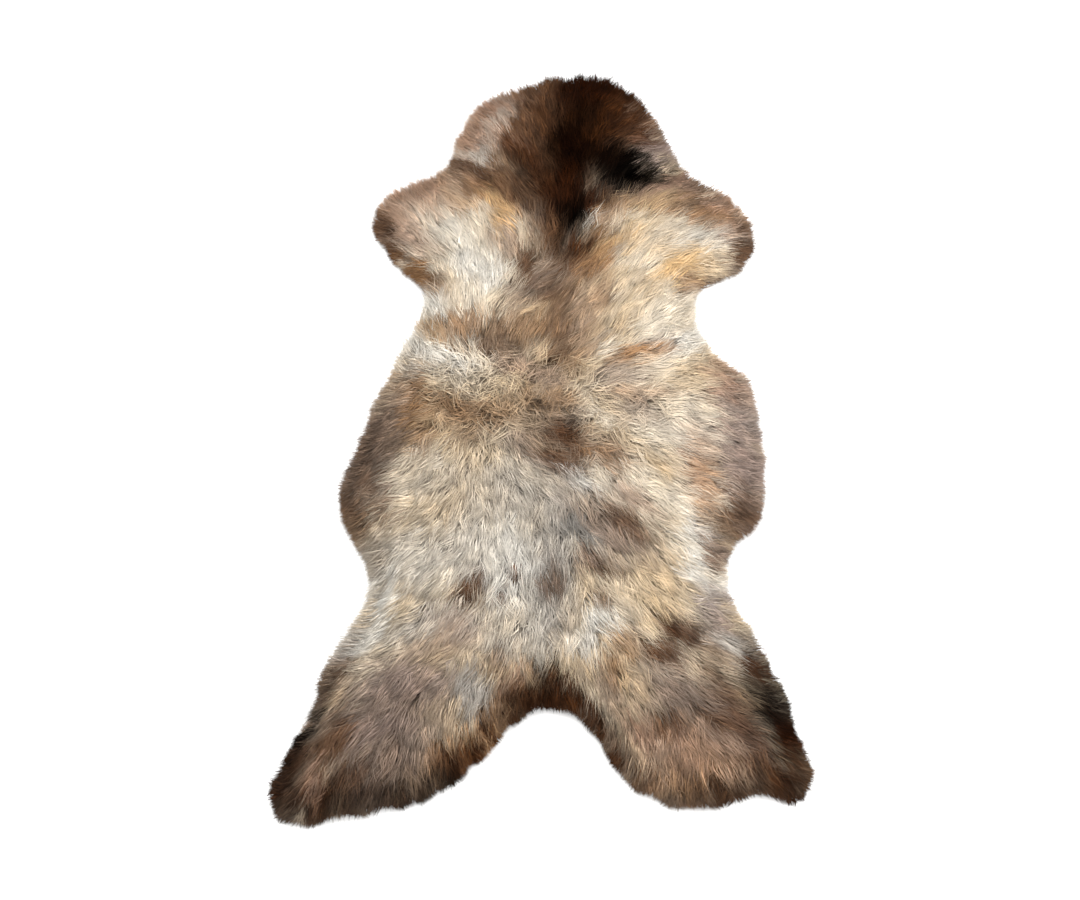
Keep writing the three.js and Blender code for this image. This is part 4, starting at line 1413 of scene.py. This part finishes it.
@dataclass(frozen=True)
class StrandLayer:
    """One layer of wool strands over the pelt, each a bent spindle of three sides.

    Lengths and widths are a strand's own. sink is how far below the pile's top its root
    starts, lift how far its tip rises above the top, gather how far its tip is drawn to
    the point of its lock, wander how many degrees a lock turns at random, shade how light
    the wool is painted at root, waist and tip, crest how far a lock's middle stands above its
    edges, and puff how much of its root's height a strand keeps where it hangs over the
    rim. The darker root is painted shade deep in the pile, and the lighter tip is partly
    sun-bleached wool and partly painted highlight. spare_roots is how many more roots are
    sown than kept.
    """

    name: str
    seed: int
    count: int
    length: float
    width: float
    sink: float
    lift: tuple[float, float]
    gather: float
    lock_pitch: float
    wander: float
    shade: tuple[float, float, float]
    crest: float = 2.5 * MM
    depth_range: tuple[float, float] = (7 * MM, 1.0)
    overhang: tuple[float, float] = (0.0, 8 * MM)
    puff: tuple[float, float] = (0.25, 0.8)
    floor_gap: float = 0.8 * MM
    waist: float = 0.45
    spare_roots: float = 1.02
    map_aspect: float = 1.8
    habit: Habit = Habit()
    fibre: FibreShade = FibreShade()

    def roots(self, form: PeltForm, rng: np.random.Generator) -> np.ndarray:
        """Root places on a jittered grid, thinned to the layer's depth range and count.

        Args:
            form: The pelt's form.
            rng: The layer's random numbers.

        Returns:
            Rows of x and y, in rows across the pelt from tail to head.
        """
        low, high = self.depth_range
        cover = (form.depth_raster > low) & (form.depth_raster < high)
        pitch = np.sqrt(cover.sum() * form.step**2 / (self.spare_roots * self.count))
        counts = np.ceil((form.high - form.low) / pitch).astype(int)
        rows, columns = np.meshgrid(np.arange(counts[1]), np.arange(counts[0]), indexing="ij")
        spots = np.stack([columns, rows], -1).reshape(-1, 2) + rng.random((counts.prod(), 2))
        spots = form.low + spots * pitch
        depth = form.depth(spots)
        spots = spots[(depth > low) & (depth < high)]
        excess = max(0, len(spots) - self.count)
        return np.delete(spots, rng.choice(len(spots), excess, replace=False), axis=0)

    def locks(self, spots: np.ndarray, form: PeltForm,
              rng: np.random.Generator) -> tuple[np.ndarray, np.ndarray, int]:
        """The lock that each strand belongs to: the nearest of a jittered grid of points.

        Args:
            spots: Strand roots.
            form: The pelt's form.
            rng: The layer's random numbers.

        Returns:
            Each strand's lock middle, its lock's number, and how many locks there are.
        """
        # One more row of locks than fits stands on each side, so every root has neighbours.
        counts = np.ceil((form.high - form.low) / self.lock_pitch).astype(int) + 3
        jitter = rng.random((counts[0], counts[1], 2))
        cell = np.floor((spots - form.low) / self.lock_pitch).astype(int) + 1
        steps = np.stack(np.meshgrid([-1, 0, 1], [-1, 0, 1], indexing="ij"), -1).reshape(-1, 2)
        near = np.clip(cell[:, None] + steps[None], 0, counts - 1)
        middles = form.low + (near - 1 + jitter[near[..., 0], near[..., 1]]) * self.lock_pitch
        chosen = ((middles - spots[:, None]) ** 2).sum(-1).argmin(1)
        pick = np.arange(len(spots))
        number = near[pick, chosen, 0] * counts[1] + near[pick, chosen, 1]
        return middles[pick, chosen], number, int(counts.prod())

    def paths(self, form: PeltForm, coat: Coat, rng: np.random.Generator) -> Strands:
        """Each strand's root, waist and tip, following the pile's top along the nap.

        At share t of its length a strand is at root + heading * length * t, drawn by
        gather * t^2 to its lock's tip, at height top - sink * (1 - t)^fall + lift * t.
        Locks are shorter and stray and bend more where the nap parts, keep more apart at
        the rim, and a strand that would pass the rim by more than its overhang is shortened.

        Args:
            form: The pelt's form.
            coat: The wool's lie.
            rng: The layer's random numbers.

        Returns:
            The strands.
        """
        habit = self.habit
        roots = self.roots(form, rng)
        count = len(roots)
        middles, number, lock_count = self.locks(roots, form, rng)

        def lock_and_own() -> np.ndarray:
            """A random number of each strand's lock, and a little of its own."""
            return rng.normal(0, 1, lock_count)[number] + habit.own * rng.normal(0, 1, count)

        lock_share = rng.random(lock_count)[number]
        strand_share = rng.random(count)
        lie, calm = coat.heading(roots + habit.to_middle * (middles - roots))
        turn = np.radians(self.wander) * (1 + habit.stray * (1 - calm) ** 2) * lock_and_own()
        cos, sin = np.cos(turn), np.sin(turn)
        turned = lie[:, 0] * cos - lie[:, 1] * sin, lie[:, 0] * sin + lie[:, 1] * cos
        heading = np.stack(turned, -1)
        grown = habit.shortest + (1 - habit.shortest) * soft_step(0.0, habit.full_calm, calm)
        length = self.length * grown * rng.uniform(*habit.strand_lengths, count)
        lock_length = self.length * grown * rng.uniform(*habit.lock_lengths, lock_count)[number]
        lock_tip = middles + heading * lock_length[:, None]
        share = np.array([0.0, self.waist, 1.0])[None, :, None]
        spots = roots[:, None] + heading[:, None] * length[:, None, None] * share

        root_depth = form.depth(roots)
        spare = root_depth + coat.reach(roots) + rng.uniform(*self.overhang, count)
        used = root_depth - form.depth(spots[:, -1])
        fit = np.clip(spare / np.maximum(used, 1e-6), habit.least_fit, 1.0)
        fit = np.where(used > spare, fit, 1.0)
        spots = roots[:, None] + (spots - roots[:, None]) * fit[:, None, None]
        lock_tip = roots + (lock_tip - roots) * fit[:, None]

        side = np.stack([-heading[:, 1], heading[:, 0]], -1)
        bow = habit.bow * self.length * fit * (1 + habit.curl_bow * (1 - calm)) * lock_and_own()
        spots = spots + side[:, None] * bow[:, None, None] * np.sin(np.pi * share)
        drawn = soft_step(0.0, habit.gather_depth, root_depth)
        gather = self.gather * (habit.rim_gather + (1 - habit.rim_gather) * drawn)
        spots = spots + gather[:, None, None] * share**2 * (lock_tip[:, None] - spots)

        kept = rng.uniform(*self.puff, count) * form.height(roots)
        top = np.maximum(form.height(spots), kept[:, None])
        off_middle = np.linalg.norm(roots - middles, axis=1) / (0.5 * self.lock_pitch)
        lift = rng.uniform(*self.lift, count) + self.crest * np.clip(1 - off_middle, -1, 1)
        lift += habit.lock_lift * rng.normal(0, 1, lock_count)[number]
        rest = 1 - share[..., 0]
        level = top - self.sink * rest**habit.fall + lift[:, None] * share[..., 0]
        level = np.maximum(level, self.floor_gap + self.width * rest)
        points = np.concatenate([spots, level[..., None]], -1)
        return Strands(points, lock_share, strand_share, np.clip(off_middle, 0.0, habit.lock_edge))

    def mesh(self, paths: np.ndarray, rng: np.random.Generator) -> tuple[np.ndarray, np.ndarray]:
        """Makes each strand a closed spindle: root point, three-cornered waist, tip point.

        Args:
            paths: Points of strand by station by coordinate.
            rng: The layer's random numbers.

        Returns:
            All points, and triangles of point numbers.
        """
        count = len(paths)
        roll = self.habit.roll
        tangent = unit(paths[:, 2] - paths[:, 0])
        side = unit(np.cross([0.0, 0.0, 1.0], tangent))
        up = np.cross(tangent, side)
        radius = 0.5 * self.width * rng.uniform(*self.habit.widths, (count, 1))
        turn = np.radians(90.0 + 120.0 * np.arange(3)) + rng.uniform(-roll, roll, (count, 1))
        ring = side[:, None] * (radius * np.cos(turn))[..., None]
        ring = ring + up[:, None] * (radius * np.sin(turn))[..., None]
        points = np.concatenate([paths[:, :1], paths[:, 1:2] + ring, paths[:, 2:]], axis=1)
        faces = np.array([(0, 2, 1), (0, 3, 2), (0, 1, 3), (1, 2, 4), (2, 3, 4), (3, 1, 4)])
        offsets = np.arange(count)[:, None, None] * points.shape[1]
        return points.reshape(-1, 3), (faces[None] + offsets).reshape(-1, 3)

    def atlas(self, piece: bpy.types.Object, count: int) -> None:
        """Gives each strand its own small cell of the piece's map, root to tip upwards.

        within is where the strand's five points go in a cell.

        Args:
            piece: The strands' piece.
            count: How many strands it has.
        """
        columns = int(np.ceil(np.sqrt(self.map_aspect * count)))
        rows = int(np.ceil(count / columns))
        within = np.array([(0.5, 0.08), (0.18, 0.5), (0.5, 0.5), (0.82, 0.5), (0.5, 0.92)])
        number = np.arange(count)
        origin = np.column_stack([number % columns, number // columns])
        places = (origin[:, None] + within[None]) / np.array([columns, rows])
        corners = np.empty(len(piece.data.loops), np.int32)
        piece.data.loops.foreach_get("vertex_index", corners)
        layer = piece.data.uv_layers.new(name=ATLAS_MAP)
        layer.data.foreach_set("uv", places.reshape(-1, 2)[corners].astype(np.float32).ravel())

    def colours(self, strands: Strands, coat: Coat, rng: np.random.Generator) -> np.ndarray:
        """The coat's tone where the strand shows, with painted shade at its root and between locks.

        Pale wool lets light through and looks even, and dark wool doesn't, so the values
        are raised to the power dark_spread - pale_spread * lightness.

        Args:
            strands: The strands.
            coat: The wool's colour.
            rng: The layer's random numbers.

        Returns:
            A colour for every point, in the order of mesh().
        """
        fibre = self.fibre
        waists, tips = strands.points[:, 1], strands.points[:, 2]
        share = rng.uniform(*fibre.sample_range, (len(tips), 1))
        tone = coat.tone((1 - share) * waists + share * tips)
        value = fibre.lock_value[0] + fibre.lock_value[1] * strands.lock_share
        value = value * (fibre.strand_value[0] + fibre.strand_value[1] * strands.strand_share)
        # Painted light along a lock's middle and painted shade between locks.
        value = value * (fibre.ridge_light - fibre.groove_shade * strands.off_middle**2)
        value = value ** (fibre.dark_spread - fibre.pale_spread * tone.mean(1) ** fibre.display_power)
        grey = tone.mean(1, keepdims=True)
        warmth = (fibre.warmth[0] + fibre.warmth[1] * strands.lock_share)[:, None]
        tone = (grey + warmth * (tone - grey)) * value[:, None]
        # Painted shade at the root, deep in the pile; the lighter tip is partly sun-bleached wool and
        # partly painted highlight.
        root, waist, tip = self.shade
        per_point = np.array([root, waist, waist, waist, tip])
        return np.clip(tone[:, None] * per_point[None, :, None], 0, 1).reshape(-1, 3)

    def build(self, form: PeltForm, coat: Coat, material: bpy.types.Material) -> bpy.types.Object:
        """Makes the layer.

        Args:
            form: The pelt's form.
            coat: The wool's colour and lie.
            material: The fibre's material.

        Returns:
            The layer's piece.
        """
        rng = np.random.default_rng(self.seed)
        strands = self.paths(form, coat, rng)
        points, faces = self.mesh(strands.points, rng)
        piece = add_mesh(self.name, points, faces)
        paint(piece, self.colours(strands, coat, rng))
        self.atlas(piece, len(strands.points))
        dress(piece, material)
        return piece


@dataclass(frozen=True)
class Fleece:
    """All the layers of wool, from the deep undercoat to the hairs on top."""

    form: PeltForm
    coat: Coat
    layers: tuple[StrandLayer, ...] = (
        StrandLayer(
            name="undercoat", seed=101, count=27000, length=30 * MM, width=2.0 * MM,
            sink=15 * MM, lift=(-4 * MM, 0.0), gather=0.3, lock_pitch=14 * MM, wander=24,
            shade=(0.55, 0.68, 0.8),
        ),
        StrandLayer(
            name="inner_locks", seed=102, count=31000, length=40 * MM, width=1.5 * MM,
            sink=13 * MM, lift=(-2.5 * MM, 1 * MM), gather=0.5, lock_pitch=16 * MM, wander=11,
            shade=(0.5, 0.78, 1.0),
        ),
        StrandLayer(
            name="outer_locks", seed=103, count=32500, length=48 * MM, width=1.15 * MM,
            sink=11 * MM, lift=(-1 * MM, 2.5 * MM), gather=0.66, lock_pitch=18 * MM, wander=10,
            shade=(0.5, 0.86, 1.1), crest=4 * MM, overhang=(0.0, 6 * MM),
        ),
        StrandLayer(
            name="top_hairs", seed=104, count=32500, length=48 * MM, width=0.85 * MM,
            sink=7 * MM, lift=(0.0, 3.5 * MM), gather=0.6, lock_pitch=15 * MM, wander=11,
            shade=(0.5, 0.97, 1.2), crest=3.5 * MM, overhang=(0.0, 6 * MM),
        ),
        StrandLayer(
            name="rim_locks", seed=105, count=32500, length=28 * MM, width=1.0 * MM,
            sink=8 * MM, lift=(-2 * MM, 2 * MM), gather=0.25, lock_pitch=12 * MM, wander=10,
            shade=(0.5, 0.85, 1.0), crest=1.5 * MM, overhang=(2 * MM, 6.5 * MM),
            depth_range=(6 * MM, 38 * MM), puff=(0.0, 0.8),
        ),
    )

    def build(self) -> list[bpy.types.Object]:
        """Makes every layer, all of one fibre."""
        material = WoolFinish().material()
        return [layer.build(self.form, self.coat, material) for layer in self.layers]


@dataclass(frozen=True)
class SoftLight:
    """A square soft light that faces the pelt's middle."""

    name: str
    place: tuple[float, float, float]
    size: float
    power: float

    def hang(self) -> None:
        """Adds the light to the scene."""
        data = bpy.data.lights.new(self.name, "AREA")
        data.size = self.size
        data.energy = self.power
        lamp = bpy.data.objects.new(self.name, data)
        lamp.location = self.place
        lamp.rotation_euler = (-lamp.location).to_track_quat("-Z", "Y").to_euler()
        bpy.context.collection.objects.link(lamp)


@dataclass(frozen=True)
class Studio:
    """A plain pale floor under plain soft light."""

    floor_size: float = 12.0
    lights: tuple[SoftLight, ...] = (
        SoftLight("key_light", (-0.4, 0.5, 2.7), 1.2, 88.0),
        SoftLight("fill_light", (1.6, -0.6, 2.0), 2.0, 60.0),
    )
    sky: tuple[float, float, float] = (1.0, 1.0, 1.0)
    sky_strength: float = 1.34

    def lay_floor(self) -> None:
        """The floor as one level sheet."""
        corners = self.floor_size / 2 * np.array([(-1, -1, 0), (1, -1, 0), (1, 1, 0), (-1, 1, 0)])
        piece = add_mesh("floor", corners, np.array([(0, 1, 2, 3)]))
        piece.data.materials.append(FloorFinish().material())

    def build(self) -> None:
        """Sets the floor, the lights and the sky."""
        self.lay_floor()
        for light in self.lights:
            light.hang()
        world = bpy.data.worlds.new("studio")
        world.use_nodes = True
        background = world.node_tree.nodes["Background"]
        background.inputs["Color"].default_value = self.sky + (1.0,)
        background.inputs["Strength"].default_value = self.sky_strength
        bpy.context.scene.world = world
        bpy.context.scene.view_settings.view_transform = "Standard"


def main() -> None:
    """Builds the sheepskin and its studio."""
    logging.basicConfig(level=logging.INFO, format="%(name)s %(message)s")
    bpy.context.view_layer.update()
    view = PhotoView()
    view.make_camera()
    Studio().build()
    form = PeltForm()
    coat = Coat(view, form)
    skin = Hide(form)
    hide = skin.build()
    report(hide)
    bed = WoolBed(form, coat).build()
    report(bed)
    strands = Fleece(form, coat).build()
    for piece in strands:
        report(piece)


if __name__ == "__main__":
    main()
